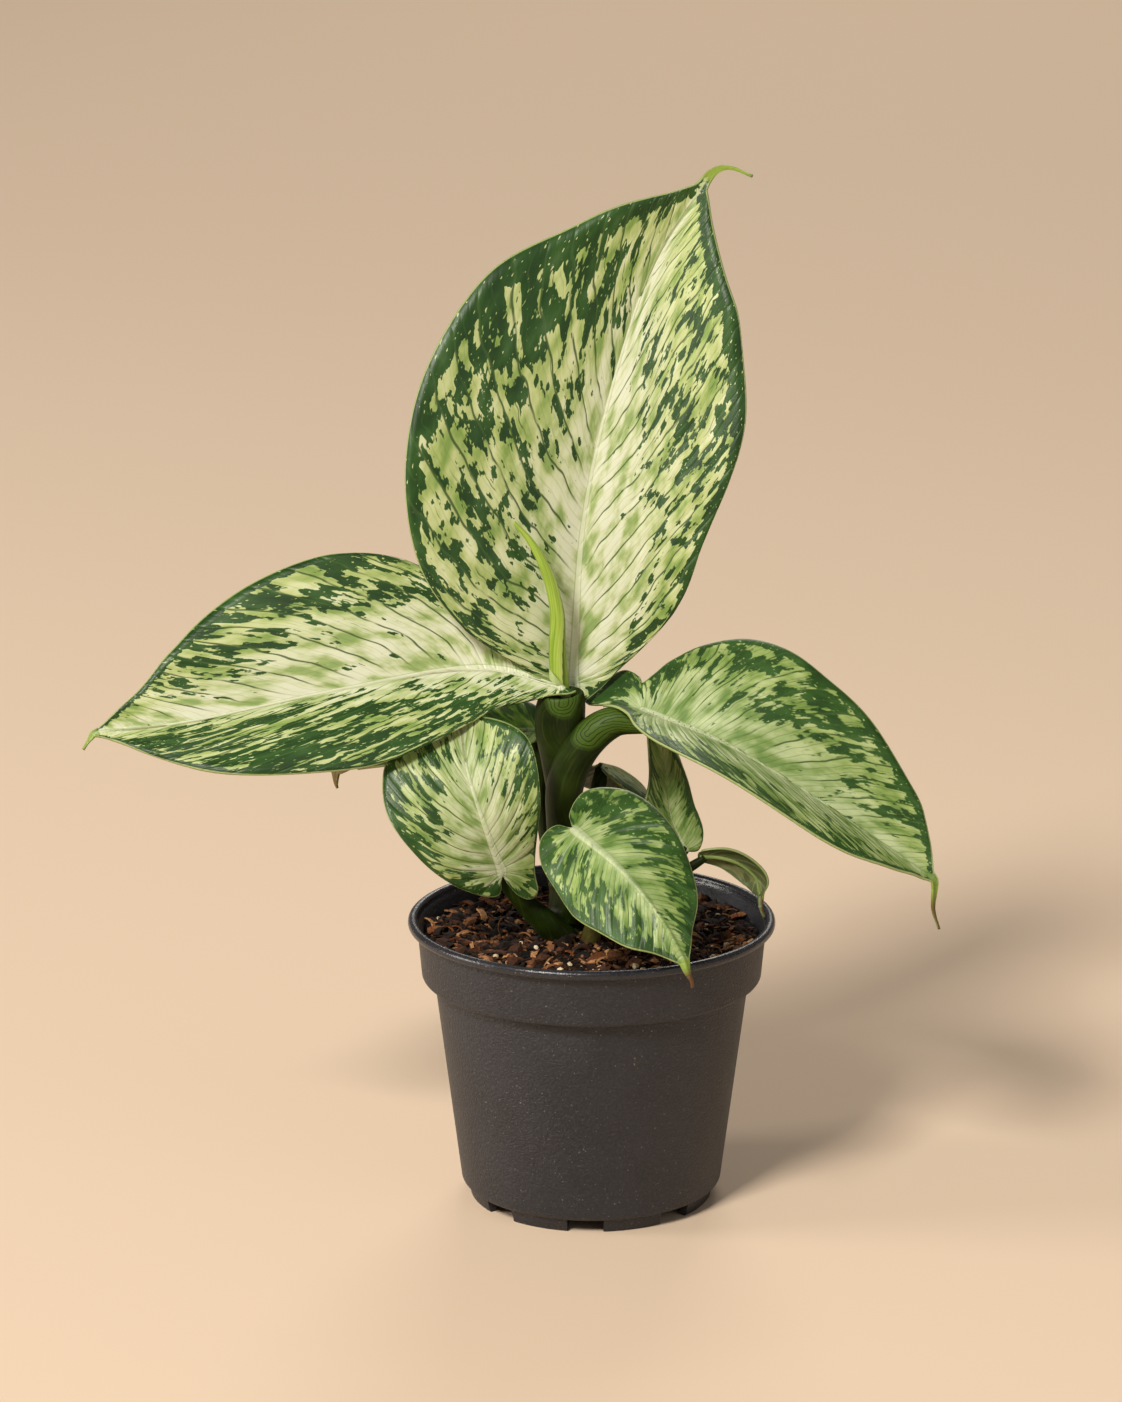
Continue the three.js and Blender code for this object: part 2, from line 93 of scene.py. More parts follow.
LEAVES["leaf_right"] = dict(
    rib=[(16, -8, 166), (45, -22, 157), (81, -30, 136), (108, -36, 118)],
    face=[(0.3, -0.45, 0.8), (0.4, -0.6, 0.7)],
    left=dict(band=3, pale=0.42, sweep=5, lift=30, curl=16, edge=[
        (0, -9), (1, -17), (4, -21.5), (9, -20.5), (13.5, -14.5), (12, -8.5), (9.5, -5), (14, -3), (22, 0),
        (31, 7), (38, 20), (40, 37), (37, 52), (31, 68), (21, 87), (10, 100), (2, 108),
    ]),
    right=dict(band=2.5, pale=0.55, lift=26, curl=14, edge=[
        (0, -14), (3, -12), (6, -7), (10, -1), (16, 6), (20, 15), (22, 26), (22, 40), (22, 57), (20, 74),
        (15, 87), (7, 100), (2, 108),
    ]),
    stalk=[
        (-8, -1, 106, 4.8), (-9.2, -4, 128, 5.6), (-8.6, -5.6, 141, 6.1), (-5, -6.6, 151.2, 6.1),
        (0.8, -7.2, 158.6, 5.8), (7.6, -7.8, 162.6, 5), (15, -9.4, 162.4, 3.5), (22, -11.6, 161.6, 2.2),
    ],
    # painted shade: this leaf's lobes behind its stalk get more dark pattern, as the top leaf shades them
    ridge=2.0, drip=[(108, -37, 109), (110, -37, 102)], lobe_shade=0.08, sag=2.2, quilt=0.42, fine=1.2,
    tone=0.02, green=0.55, detail=180,
)
LEAVES["leaf_low_left"] = dict(
    rib=[(-29, -23, 116), (-35, -27, 135), (-40, -22, 151), (-42, -11, 163)],
    face=[(0.15, -0.8, 0.6), (-0.05, -0.95, 0.3)],
    left=dict(band=3, pale=0.42, lift=6, curl=14, edge=[
        (0, 0), (4, -6), (12, -1), (20, 9), (26, 22), (28, 34), (24, 44), (14, 51), (5, 56), (1.5, 58),
    ]),
    right=dict(band=2, pale=0.52, lift=16, curl=14, edge=[
        (0, -1), (2, -8), (5.2, -12), (8.6, -10.5), (10.5, -3), (16, 9), (20, 21), (22, 34), (20, 44),
        (12, 52), (5, 56), (1.5, 58),
    ]),
    stalk=[
        (-7, -2, 86, 4.4), (-10, -6, 90, 4.8), (-15, -11, 96, 4.3), (-22, -14.5, 104, 3.4),
        (-29, -19, 114, 2.4), (-31, -23, 121, 1.6),
    ],
    ridge=1.6, drip=[(-42, -7, 166)], quilt=0.4, fine=1.5, tone=0.012, green=0.32, detail=110,
)
LEAVES["leaf_low_right"] = dict(
    rib=[(-6, -26, 132), (9, -45, 124), (21, -57, 112), (28.4, -63, 100)],
    face=[(0, -0.8, 0.6), (0.4, -0.8, 0.5)],
    left=dict(band=3, pale=0.33, lift=-4, curl=16, edge=[
        (0, 0), (3, -6), (11, -10), (19, -5), (24, 4), (25, 15), (22, 28), (16, 39), (8, 52), (2, 62),
    ]),
    right=dict(band=3, pale=0.3, lift=-12, curl=16, edge=[
        (0, 0), (3, -6), (9, -7), (15, -2), (19, 7), (21, 19), (19, 30), (14, 43), (7, 54), (2, 62),
    ]),
    stalk=[(-6, -4, 96, 4), (-5, -13, 108, 3.6), (-6, -21, 122, 3), (-5, -26, 130, 2.2)],
    ridge=1.6, drip=[(29.4, -64.4, 96.6), (30.6, -65, 94), (30.8, -65, 91.8)], strap=2.4, quilt=0.7,
    fine=1.4, tone=0.025, green=0.75, detail=110,
)
LEAVES["leaf_side_right"] = dict(
    rib=[(31, 13, 113), (26, 15, 124), (24, 15, 139), (18, 15, 164)],
    face=[(-0.15, -0.95, 0.2), (-0.05, -0.95, 0.2)],
    left=dict(band=1, pale=0.4, lift=38, curl=10, edge=[
        (0, 0), (6, -2), (10, 7), (11, 18), (8, 30), (5, 40), (1.5, 52),
    ]),
    right=dict(band=1.5, pale=0.6, lift=20, curl=10, edge=[
        (0, 0), (5, -1), (9, 5), (10, 15), (9, 27), (6, 39), (1.5, 52),
    ]),
    stalk=[(-4, 3, 90, 3.4), (12, 8, 98, 3), (25, 12, 107, 2.4), (31, 14, 114, 1.8)],
    ridge=1.2, drip=[(17, 14, 167)], fine=1.3, tone=0.02, green=0.8, detail=90,
)
LEAVES["leaf_curled_right"] = dict(
    rib=[(35, 4, 114), (45, 4, 113), (53, 2, 108), (55, 0, 102)],
    face=[(0, 0.8, 0.6), (0.5, 0.8, 0.2)],
    left=dict(band=1, pale=0.2, lift=8, curl=30, edge=[
        (0, 0), (3, 1), (5, 7), (6.2, 14), (5, 21), (1.2, 27),
    ]),
    stalk=[(-2, -4, 91, 3), (14, -1, 97, 2.6), (27, 2, 107, 2), (37, 3.6, 113.4, 1.3)],
    ridge=0.8, drip=[(55, -2, 98), (56, -3, 95)], tone=0.1, green=1.0, detail=60,
)
LEAVES["leaf_back_left"] = dict(
    rib=[(-17, 12, 154), (-38, 17, 153), (-62, 24, 150), (-79, 27, 145), (-84, 26, 136.5)],
    face=[(0, -0.45, 0.9), (-0.3, -0.5, 0.8)],
    left=dict(band=2, pale=0.35, lift=10, curl=14, edge=[
        (0, 0), (6, 0), (12, 9), (15, 24), (15, 42), (12, 58), (7, 68), (1.5, 76),
    ]),
    right=dict(band=2, pale=0.35, lift=18, curl=14, edge=[
        (0, 0), (8, 0), (15, 10), (19, 26), (18, 44), (13, 58), (7, 68), (1.5, 76),
    ]),
    stalk=[(-10, 4, 98, 3), (-15, 9, 124, 3), (-17, 11, 143, 2.6), (-19, 12, 153, 2)],
    ridge=1.4, drip=[(-84, 25.5, 133), (-83.4, 25, 131)], tone=0.02, green=1.2, detail=110,
)
LEAVES["leaf_back_right"] = dict(
    rib=[(3, 14, 142), (10, 27, 136), (18, 41, 125), (23, 49, 108)],
    face=[(0.2, 0.3, 0.95), (0.5, 0.6, 0.6)],
    left=dict(band=2, pale=0.35, lift=-32, curl=-14, edge=[
        (0, 0), (4, -3), (10, -1), (15, 9), (16, 24), (12, 40), (5, 53), (1.5, 60),
    ]),
    stalk=[(-6, 4, 98, 3), (-1, 9, 120, 3), (2, 12, 134, 2.6), (3.5, 15, 141, 2)],
    ridge=1.4, drip=[(23.5, 50, 105)], tone=0.02, green=0.7, detail=90,
)

# %% What a leaf has, unless its own entry says otherwise
LEAF_DEFAULTS = dict(
    strap=1.6,        # how soon the drip tip narrows
    sag=0,            # how far the lobes droop, 10 mm behind the stalk
    quilt=0.28,       # height of the swells between the veins
    fine=1,           # how much closer the veins and patches are
    lobe_shade=0,      # painted shade: how much darker the lobes behind the stalk are, in the shade of the leaf above
)
HALF_DEFAULTS = dict(
    sweep=3.9,        # how strongly the side veins lean towards the tip
    shoulder=0,       # how far the middle veins start further up the rib
)
BLADE_THICKNESS = 0.8
VEIN_SPACING = 5.2
HALF_COLUMNS = 24     # columns of the mesh from the rib to the margin


def complete(leaf):
    """The leaf with its defaults; an unmeasured right half is like the left one."""
    leaf = {**LEAF_DEFAULTS, "right": leaf["left"], **leaf}
    for side in ("left", "right"):
        leaf[side] = {**HALF_DEFAULTS, **leaf[side]}
    return leaf


LEAVES = {name: complete(leaf) for name, leaf in LEAVES.items()}

# %% [markdown]
# ## Smooth curves
# Ribs, margins and stalks all need a smooth line through a few measured points. A spline that passes
# through its points is the simplest choice, because each point can be read off the plant.

# %% A spline through points of any size
def spline(points, t):
    """Point at t, from 0 to 1, on the smooth curve through the points."""
    last = len(points) - 1
    t = min(max(t, 0.0), 1.0) * last
    i = min(int(t), last - 1)
    w = t - i
    b, c = points[i], points[i + 1]
    a = points[i - 1] if i > 0 else [2 * p - q for p, q in zip(b, c)]
    d = points[i + 2] if i + 2 <= last else [2 * q - p for p, q in zip(b, c)]
    return [
        q + 0.5 * w * ((r - p) + w * ((2 * p - 5 * q + 4 * r - s) + w * (3 * (q - r) + s - p)))
        for p, q, r, s in zip(a, b, c, d)
    ]


def heading(points, t):
    """Direction of the curve at t."""
    ahead, behind = spline(points, min(t + 0.002, 1)), spline(points, max(t - 0.002, 0))
    return Vector([p - q for p, q in zip(ahead[:3], behind[:3])]).normalized()


# %% [markdown]
# ## The surface of a blade
# A blade is bent twice: along its rib, and across it, where both halves lift from the rib and curl over
# to the margin. So a flat leaf, measured with a ruler, is laid on a moving frame that walks up the rib.

# %% Walk along the rib
RIB_STEPS, TAIL_STEPS = 120, 24


def survey(leaf):
    """Keeps place, direction, upper side and right side at steps along the rib, and its length."""
    base, tip = Vector(leaf["face"][0]).normalized(), Vector(leaf["face"][1]).normalized()
    leaf["frames"] = []
    for step in range(RIB_STEPS + 1):
        t = step / RIB_STEPS
        along = heading(leaf["rib"], t)
        up = base.lerp(tip, t)
        up = (up - along * up.dot(along)).normalized()
        leaf["frames"].append((Vector(spline(leaf["rib"], t)), along, up, along.cross(up)))
    places = [f[0] for f in leaf["frames"]]
    leaf["length"] = sum((b - a).length for a, b in zip(places, places[1:]))
    path = [tuple(leaf["frames"][-8][0]), tuple(leaf["frames"][-1][0])] + leaf["drip"]
    start, across = 1 / (len(path) - 1), leaf["frames"][-1][3]
    leaf["tail"] = []
    for step in range(TAIL_STEPS + 1):
        t = start + (1 - start) * step / TAIL_STEPS
        along = heading(path, t)
        across = (across - along * across.dot(along)).normalized()
        leaf["tail"].append((Vector(spline(path, t)), along, across.cross(along), across))
    places = [f[0] for f in leaf["tail"]]
    leaf["tail_length"] = sum((b - a).length for a, b in zip(places, places[1:]))
    for side in ("left", "right"):
        leaf[side]["width"] = max(x for x, _ in leaf[side]["edge"])


def rib_frame(leaf, t):
    """Place, direction, upper side and right-hand side of the rib at t; past 1 it follows the drip tip."""
    if t <= 1:
        frames, inside = leaf["frames"], max(t, 0.0) * RIB_STEPS
    else:
        frames, inside = leaf["tail"], min((t - 1) * leaf["length"] / leaf["tail_length"], 1.0) * TAIL_STEPS
    i = min(int(inside), len(frames) - 2)
    place, along, up, across = [a.lerp(b, inside - i) for a, b in zip(frames[i], frames[i + 1])]
    return place + along * min(t, 0.0) * leaf["length"], along, up, across


def half_of(leaf, side):
    """The measurements of the half on one side: -1 is left, 1 is right."""
    return leaf["right" if side > 0 else "left"]


def lay(leaf, x, y, side, height=0.0):
    """Where the flat leaf's point lies in space: x from the rib, y along it, height above the sheet."""
    half = half_of(leaf, side)
    place, along, up, across = rib_frame(leaf, y / leaf["length"])
    bend = math.radians(half["curl"]) * x / half["width"]
    chord = x * math.sin(bend / 2) / (bend / 2) if abs(bend) > 1e-6 else x
    lift = math.radians(half["lift"])
    out = place + across * side * chord * math.cos(lift - bend / 2) + up * chord * math.sin(lift - bend / 2)
    out -= up * leaf["sag"] * min(y, 0) ** 2 / 100
    return out + (up * math.cos(lift - bend) - across * side * math.sin(lift - bend)) * height


for name, leaf in LEAVES.items():
    survey(leaf)
    width = leaf["left"]["width"] + leaf["right"]["width"]
    print(name, "rib", round(leaf["length"]), "mm, widest", round(width), "mm")

# %% [markdown]
# ## Veins
# The side veins of a dieffenbachia leave the rib at a sharp angle and sweep forward to the margin, and
# patches, folds and shine all follow them. So the mesh itself is laid along the veins: one row of the
# grid is one line from the rib to the margin. Each point keeps how far it is across and along the veins,
# and the leaf's colours are painted on those two numbers.

# %% Side veins and relief
TIP_HALF_WIDTH = 0.3


def side_vein(leaf, u, v, side):
    """Flat point at v of the way along side vein u; past 1 the rows cross the drip tip."""
    half = half_of(leaf, side)
    if u > 1:
        end_x, end_y = half["edge"][-1]
        width = TIP_HALF_WIDTH + (end_x - TIP_HALF_WIDTH) * (2 - u) ** leaf["strap"]
        return v * width, end_y + (leaf["length"] + leaf["tail_length"] - end_y) * (u - 1)
    edge_x, edge_y = spline(half["edge"], u)
    root = leaf["length"] * u ** half["sweep"] + half["shoulder"] * (4 * u * (1 - u)) ** 2
    middle_x, middle_y = 0.63 * edge_x, root + 0.36 * (edge_y - root)
    x = 2 * (1 - v) * v * middle_x + v * v * edge_x
    y = (1 - v) ** 2 * root + 2 * (1 - v) * v * middle_y + v * v * edge_y
    return max(x, 0.0), y


def vein_count(leaf, rows):
    """How far across the veins each row of the grid is, in mm."""
    across, total, before = [], 0.0, None
    for row in rows:
        here = [Vector(side_vein(leaf, row, 0.5, side)) for side in (-1, 1)]
        if before:
            total += 0.32 * leaf["fine"] * sum((a - b).length for a, b in zip(here, before))
        across.append(total)
        before = here
    return across


def leaf_reach(leaf, u, side):
    """Length in mm of one side vein, from the rib to the margin."""
    line = [Vector(side_vein(leaf, u, v / 6, side)) for v in range(7)]
    return sum((b - a).length for a, b in zip(line, line[1:]))


def relief(across, reach, v, quilt):
    """The sheet swells by quilt, in mm, between the side veins, and sinks to a groove on each of them."""
    swell = abs(math.sin(math.pi * across / VEIN_SPACING)) - 0.6
    fade = min(reach / 8, 1) * min((1 - v) / 0.35, 1)
    rib = max(1 - reach / 1.8, 0) ** 2
    return quilt * swell * fade + 0.55 * rib


# %% Blade of one leaf
FIRST_ROW, LAST_ROW, TAIL_ROWS = 0.03, 0.997, 16
WAVE_LENGTH, WAVE_OUT, WAVE_UP = 15, 1.9, 2.4     # the waves of the margin


def add_object(bm, name, smooth=True):
    """Makes an object of what the mesh builder holds."""
    mesh = bpy.data.meshes.new(name)
    bm.to_mesh(mesh)
    bm.free()
    if smooth:
        mesh.shade_smooth()
    made = bpy.data.objects.new(name, mesh)
    bpy.context.collection.objects.link(made)
    return made


def make_blade(name, leaf, seed):
    """Lays a grid on the leaf, with what its colours are painted from kept at every point."""
    rows = leaf["detail"]
    bm = bmesh.new()
    bmesh.ops.create_grid(bm, x_segments=2 * HALF_COLUMNS, y_segments=rows + TAIL_ROWS, size=1)
    vein_map = bm.verts.layers.float_vector.new("vein_map")
    leaf_zone = bm.verts.layers.float_vector.new("leaf_zone")
    leaf_look = bm.verts.layers.float_vector.new("leaf_look")
    steps = [FIRST_ROW + (LAST_ROW - FIRST_ROW) * i / rows for i in range(rows + 1)]
    steps += [1 + (i + 1) / TAIL_ROWS for i in range(TAIL_ROWS)]
    crossing = vein_count(leaf, steps)
    full = {side: [leaf_reach(leaf, u, side) for u in steps] for side in (-1, 1)}
    for vert in bm.verts:
        row = round((vert.co.y + 1) / 2 * (rows + TAIL_ROWS))
        side = -1 if vert.co.x < -1e-6 else 1
        half = half_of(leaf, side)
        v = abs(vert.co.x) ** 1.35
        x, y = side_vein(leaf, steps[row], v, side)
        reach = v * full[side][row]
        wave = noise.noise(Vector((crossing[row] / WAVE_LENGTH, side * v * 0.6, seed)))
        wave *= v**3 * min(x / 12, 1)
        # painted shade: more dark patches on the lobes behind the stalk, which lie in the shade of the leaf
        # above
        tone = leaf["tone"] + leaf["lobe_shade"] * min(max(2 - y, 0) / 8, 1)
        vert[vein_map] = (crossing[row] + 100 * seed, side * reach, side * v)
        vert[leaf_zone] = (y / leaf["length"], (1 - v) * full[side][row], tone)
        vert[leaf_look] = (half["band"], half["pale"], leaf["green"])
        height = relief(crossing[row], reach, v, leaf["quilt"]) + WAVE_UP * wave
        vert.co = lay(leaf, x + WAVE_OUT * wave, y, side, height) * MM
    blade = add_object(bm, name + "_blade")
    sheet = blade.modifiers.new("thickness", "SOLIDIFY")
    sheet.thickness = BLADE_THICKNESS * MM
    sheet.offset = 0
    sheet.material_offset = 1
    sheet.material_offset_rim = 0
    return blade

# %% [markdown]
# ## Round stems
# Stalks, the ridge under each rib, the cane and the new leaf are tapering rods, and an open sheath is a
# tube. A grid is rolled round a curve, its seam is merged, and its two open ends are filled. A rolled grid
# is chosen because it knows how far round and how far along each point is, which the paint needs.

# %% Roll a grid into a rod
def close_tube(bm, name):
    """Merges the seam, fills both ends and makes the object."""
    bmesh.ops.remove_doubles(bm, verts=bm.verts, dist=1e-6)
    bmesh.ops.holes_fill(bm, edges=[e for e in bm.edges if e.is_boundary], sides=0)
    bmesh.ops.recalc_face_normals(bm, faces=bm.faces)
    return add_object(bm, name)


def make_rod(name, points, sides=20, rings=48, profile=None, mark=None):
    """Tapering rod through (x, y, z, radius) points in mm.

    profile(turn, t) scales the radius, and mark(turn, t) is kept for paint in place of t.
    """
    bm = bmesh.new()
    bmesh.ops.create_grid(bm, x_segments=sides, y_segments=rings, size=1)
    vein_map = bm.verts.layers.float_vector.new("vein_map")
    across, frames = Vector((1, 0, 0)), []
    for ring in range(rings + 1):
        along = heading(points, ring / rings)
        across = (across - along * across.dot(along)).normalized()
        frames.append((across.copy(), along.cross(across)))
    for vert in bm.verts:
        turn = (vert.co.x + 1) * math.pi
        ring = round((vert.co.y + 1) / 2 * rings)
        t = ring / rings
        *centre, radius = spline(points, t)
        radius = max(radius, 0.15)
        if profile:
            radius *= profile(turn, t)
        side, front = frames[ring]
        vert[vein_map] = (turn * radius, t * 100, mark(turn, t) if mark else t)
        vert.co = (Vector(centre) + side * radius * math.cos(turn) + front * radius * math.sin(turn)) * MM
    return close_tube(bm, name)


def make_ridge(name, leaf):
    """Ridge under the rib, thick at the stalk, running out into the drip tip."""
    points = []
    for t in (0.01, 0.2, 0.45, 0.7, 0.9, 1):
        place, _, up, _ = rib_frame(leaf, t)
        radius = leaf["ridge"] + (0.45 - leaf["ridge"]) * t**0.8
        points.append((*(place + up * (0.25 - radius)), radius))
    return make_rod(name + "_ridge", points, sides=14, rings=70)


# %% A tube through leaning rings
CREASE_TURN = 4.8     # how far round a sheath its creases are nested, where it faces the front


def make_tube(name, stations, sides=40, rings=70):
    """Tube through (x, y, z, lean, bow, width, depth) rings, in mm and degrees."""
    bm = bmesh.new()
    bmesh.ops.create_grid(bm, x_segments=sides, y_segments=rings, size=1)
    vein_map = bm.verts.layers.float_vector.new("vein_map")
    for vert in bm.verts:
        turn, t = (vert.co.x + 1) * math.pi, (vert.co.y + 1) / 2
        x, y, z, lean, bow, width, depth = spline(stations, t)
        lean, bow = math.radians(lean), math.radians(bow)
        sideways = Vector((math.cos(lean), 0, -math.sin(lean)))
        inwards = Vector((0, math.cos(bow), math.sin(bow)))
        vert[vein_map] = (turn * width, t * 100, (turn - CREASE_TURN) * width)
        vert.co = Vector((x, y, z)) + sideways * width * math.cos(turn) + inwards * depth * math.sin(turn)
        vert.co *= MM
    return close_tube(bm, name)

# %% [markdown]
# ## Painting the leaves
# Three things make the pattern: a pale middle along the rib, dark patches that thicken towards the
# margin, and thin dark lines on the veins. Noise that is stretched along the veins gives the patches
# their streaked shape, and a threshold that rises from rib to margin decides how much of it is dark.
#
# A recipe is written as sums, because they are easier to read than a list of nodes: each sign between two
# values adds one node. Colours are screen colours, from 0 to 255 for red, green and blue.

# %% A small kit for node recipes
def linear(red, green, blue):
    """Screen colour, 0 to 255, as the linear colour that nodes use."""
    shares = [value / 255 for value in (red, green, blue)]
    return (*(((s + 0.055) / 1.055) ** 2.4 if s > 0.0393 else s / 12.92 for s in shares), 1.0)


def sign(operation):
    """What a sign between two values does."""
    return lambda first, second: first.recipe.math(operation, first, second)


class Value:
    """What comes out of a node: a number, a vector or a colour."""

    __add__, __sub__, __mul__, __truediv__ = map(sign, ("ADD", "SUBTRACT", "MULTIPLY", "DIVIDE"))

    def __init__(self, recipe, socket):
        self.recipe = recipe
        self.socket = socket

    def __abs__(self):
        return self.recipe.math("ABSOLUTE", self)

    def off_middle(self):
        """How far the value is from the middle between two whole numbers, 0 to 0.5."""
        return abs(self.recipe.math("FRACT", self) - 0.5)

    def between(self, low, high, to_low=0.0, to_high=1.0):
        """Maps low to high evenly onto to_low to to_high, and goes no further."""
        return self.recipe.node("ShaderNodeMapRange", {0: self, 1: low, 2: high, 3: to_low, 4: to_high})


class Recipe:
    """Builds one material, value by value."""

    def __init__(self, name):
        self.material = bpy.data.materials.new(name)
        self.material.use_nodes = True
        self.tree = self.material.node_tree
        self.surface = self.tree.nodes["Principled BSDF"]

    def feed(self, value, socket):
        """Links a value to a socket, or sets a plain number or a screen colour."""
        if isinstance(value, Value):
            self.tree.links.new(value.socket, socket)
        else:
            socket.default_value = linear(*value) if isinstance(value, tuple) else value

    def node(self, kind, inputs=(), out=0, **settings):
        """Adds a node and returns what comes out of it."""
        made = self.tree.nodes.new(kind)
        for key, value in settings.items():
            setattr(made, key, value)
        for key, value in dict(inputs).items():
            self.feed(value, made.inputs[key])
        return Value(self, made.outputs[out])

    def math(self, operation, *values, clamp=False):
        return self.node("ShaderNodeMath", dict(enumerate(values)), operation=operation, use_clamp=clamp)

    def split(self, vector):
        """The three numbers of a vector."""
        first = self.node("ShaderNodeSeparateXYZ", {0: vector})
        return [Value(self, socket) for socket in first.socket.node.outputs]

    def attribute(self, name):
        """The three numbers that the mesh keeps under a name."""
        return self.split(self.node("ShaderNodeAttribute", out="Vector", attribute_name=name))

    def place(self):
        """Place on the object, in metres."""
        return self.node("ShaderNodeTexCoord", out="Object")

    def noise(self, vector, scale=1.0, detail=2.0, roughness=0.5):
        inputs = {"Vector": vector, "Scale": scale, "Detail": detail, "Roughness": roughness}
        return self.node("ShaderNodeTexNoise", inputs, out="Fac")

    def streaks(self, across, along, seed=0.0, detail=2.0, roughness=0.5):
        """Noise in two directions, drawn out where the number grows slowly."""
        vector = self.node("ShaderNodeCombineXYZ", {0: across, 1: along, 2: seed})
        return self.noise(vector, detail=detail, roughness=roughness)

    def mix(self, factor, first, second):
        return self.node("ShaderNodeMix", {0: factor, 6: first, 7: second}, out=2, data_type="RGBA")

    def ramp(self, value, stops):
        """Goes through the stops, each a position and its colour or shade of grey."""
        made = self.node("ShaderNodeValToRGB", {0: value})
        ramp = made.socket.node.color_ramp
        while len(ramp.elements) < len(stops):
            ramp.elements.new(0.5)
        for element, (position, colour) in zip(ramp.elements, stops):
            element.position = position
            element.color = linear(*colour) if isinstance(colour, tuple) else (colour, colour, colour, 1)
        return made

    def bump(self, height, strength, distance):
        inputs = {"Height": height, "Strength": strength, "Distance": distance}
        self.feed(self.node("ShaderNodeBump", inputs), self.surface.inputs["Normal"])

    def set(self, **values):
        """Sets the surface, with _ for a space in a name, and returns the material."""
        for key, value in values.items():
            self.feed(value, self.surface.inputs[key.replace("_", " ")])
        return self.material


# %% What the pattern of a leaf is made from
LANES = 4     # lanes of patches from one vein to the next


class LeafRecipe(Recipe):
    """A recipe that starts with what the mesh keeps and the noises that many steps share."""

    def __init__(self, name):
        super().__init__(name)
        self.across, self.along, share = self.attribute("vein_map")
        # tone is each leaf's own darkening, plus the painted shade of the lobes behind the stalk
        self.position, self.margin, self.tone = self.attribute("leaf_zone")
        self.band, self.pale_share, self.green = self.attribute("leaf_look")
        self.reach = abs(self.along)
        self.edge = abs(share)
        self.cloud = self.streaks(self.across * 0.2, self.along * 0.1, 2.0, detail=3.0)
        self.broken = self.streaks(self.across * 0.4, self.along * 0.1, 9.0)
        # veins are counted across, with a slow wander so that they are not ruled lines
        wander = self.streaks(self.across * 0.06, self.along * 0.05, 5.0)
        self.count = self.across / VEIN_SPACING + wander * 0.9
        self.line = self.count.off_middle()
        self.hairline = (self.count * 3.0).off_middle()


def dark_veins(leaf):
    """Thin broken lines on the side veins, and shorter ones between them near the margin."""
    vein = leaf.line.between(0.055, 0.022) * leaf.broken.between(0.28, 0.44) * leaf.reach.between(3, 10)
    middle = (leaf.count * 2.0 + leaf.broken).off_middle()
    branch = middle.between(0.06, 0.03) * leaf.broken.between(0.5, 0.6)
    return leaf.math("MAXIMUM", vein, branch * leaf.edge.between(0.25, 0.45, 0, 0.75))


def patch_noise(leaf):
    """Noise stretched along the veins, cut into lanes whose ends do not line up."""
    lane = leaf.math("FLOOR", leaf.count * LANES)
    number = lane + leaf.math("SIGN", leaf.along)
    shift = leaf.node("ShaderNodeTexWhiteNoise", {"W": number}, out="Value", noise_dimensions="1D")
    stepped = shift * 4.0 + leaf.along
    lane_across = lane * (0.066 * VEIN_SPACING) + leaf.across * 0.12
    patches = leaf.streaks(lane_across, stepped * 0.1, detail=1.0)
    ragged = leaf.streaks(leaf.across * 0.8, leaf.along * 0.26, 7.0)
    return ragged * 0.46 + patches * 0.64


def patch_limit(leaf):
    """The limit below which the noise is dark: low by the rib, high by the margin."""
    tipward = leaf.position.between(0.72, 1, 0, 0.6)
    rise = leaf.edge - (leaf.pale_share + tipward)
    stops = [(0.0, 0.33), (0.25, 0.385), (0.5, 0.485), (0.72, 0.548), (1.0, 0.562)]
    limit = leaf.ramp(rise.between(-0.45, 0.45), stops)
    broad = leaf.streaks(leaf.across * 0.07, leaf.along * 0.06, 1.0)
    rim = leaf.band * leaf.position.between(0, 0.15) * leaf.position.between(0.75, 1, 1, 0.55)
    rim = (rim * (leaf.broken * 1.6 + 0.2) - leaf.margin).between(-0.8, 0.8)
    # leaf.tone also carries the painted shade of the lobes behind the stalk
    return limit + (broad * 0.42 - 0.21) + rim * 0.3 + leaf.tone


def dark_patches(leaf):
    """How dark each point is, 0 to 1, and how far inside its patch it lies."""
    inside = patch_limit(leaf) - patch_noise(leaf)
    soft = leaf.green * 0.025 + 0.007
    specks = leaf.streaks(leaf.across * 1.3, leaf.along * 0.8, 3.0, detail=1.0)
    return inside.between(soft * -1, soft) * specks.between(0.71, 0.68), inside


# %% Upper side of the leaves
def pale_colour(leaf, vein):
    """The pale ground: cloudy, milky by the rib, fresher on the greener leaves, with fine dark hairs."""
    stops = [(0.34, (122, 150, 72)), (0.45, (160, 177, 105)), (0.56, (188, 198, 138)), (0.7, (208, 214, 172))]
    pale = leaf.ramp(leaf.cloud, stops)
    by_rib = (leaf.edge - leaf.pale_share).between(0.2, -0.22)
    milky = by_rib * leaf.cloud.between(0.4, 0.58, 0.1, 0.95) * (leaf.green * -0.6 + 1.0)
    pale = leaf.mix(milky, pale, (212, 216, 190))
    fresh = leaf.ramp(leaf.cloud, [(0.34, (58, 98, 26)), (0.5, (96, 134, 44)), (0.66, (144, 168, 82))])
    pale = leaf.mix(leaf.green * 0.85, pale, fresh)
    hair = leaf.hairline.between(0.09, 0.03) * (leaf.green * 0.4 + 0.16)
    return leaf.mix(leaf.math("MAXIMUM", vein * 0.9, hair), pale, (50, 76, 28))


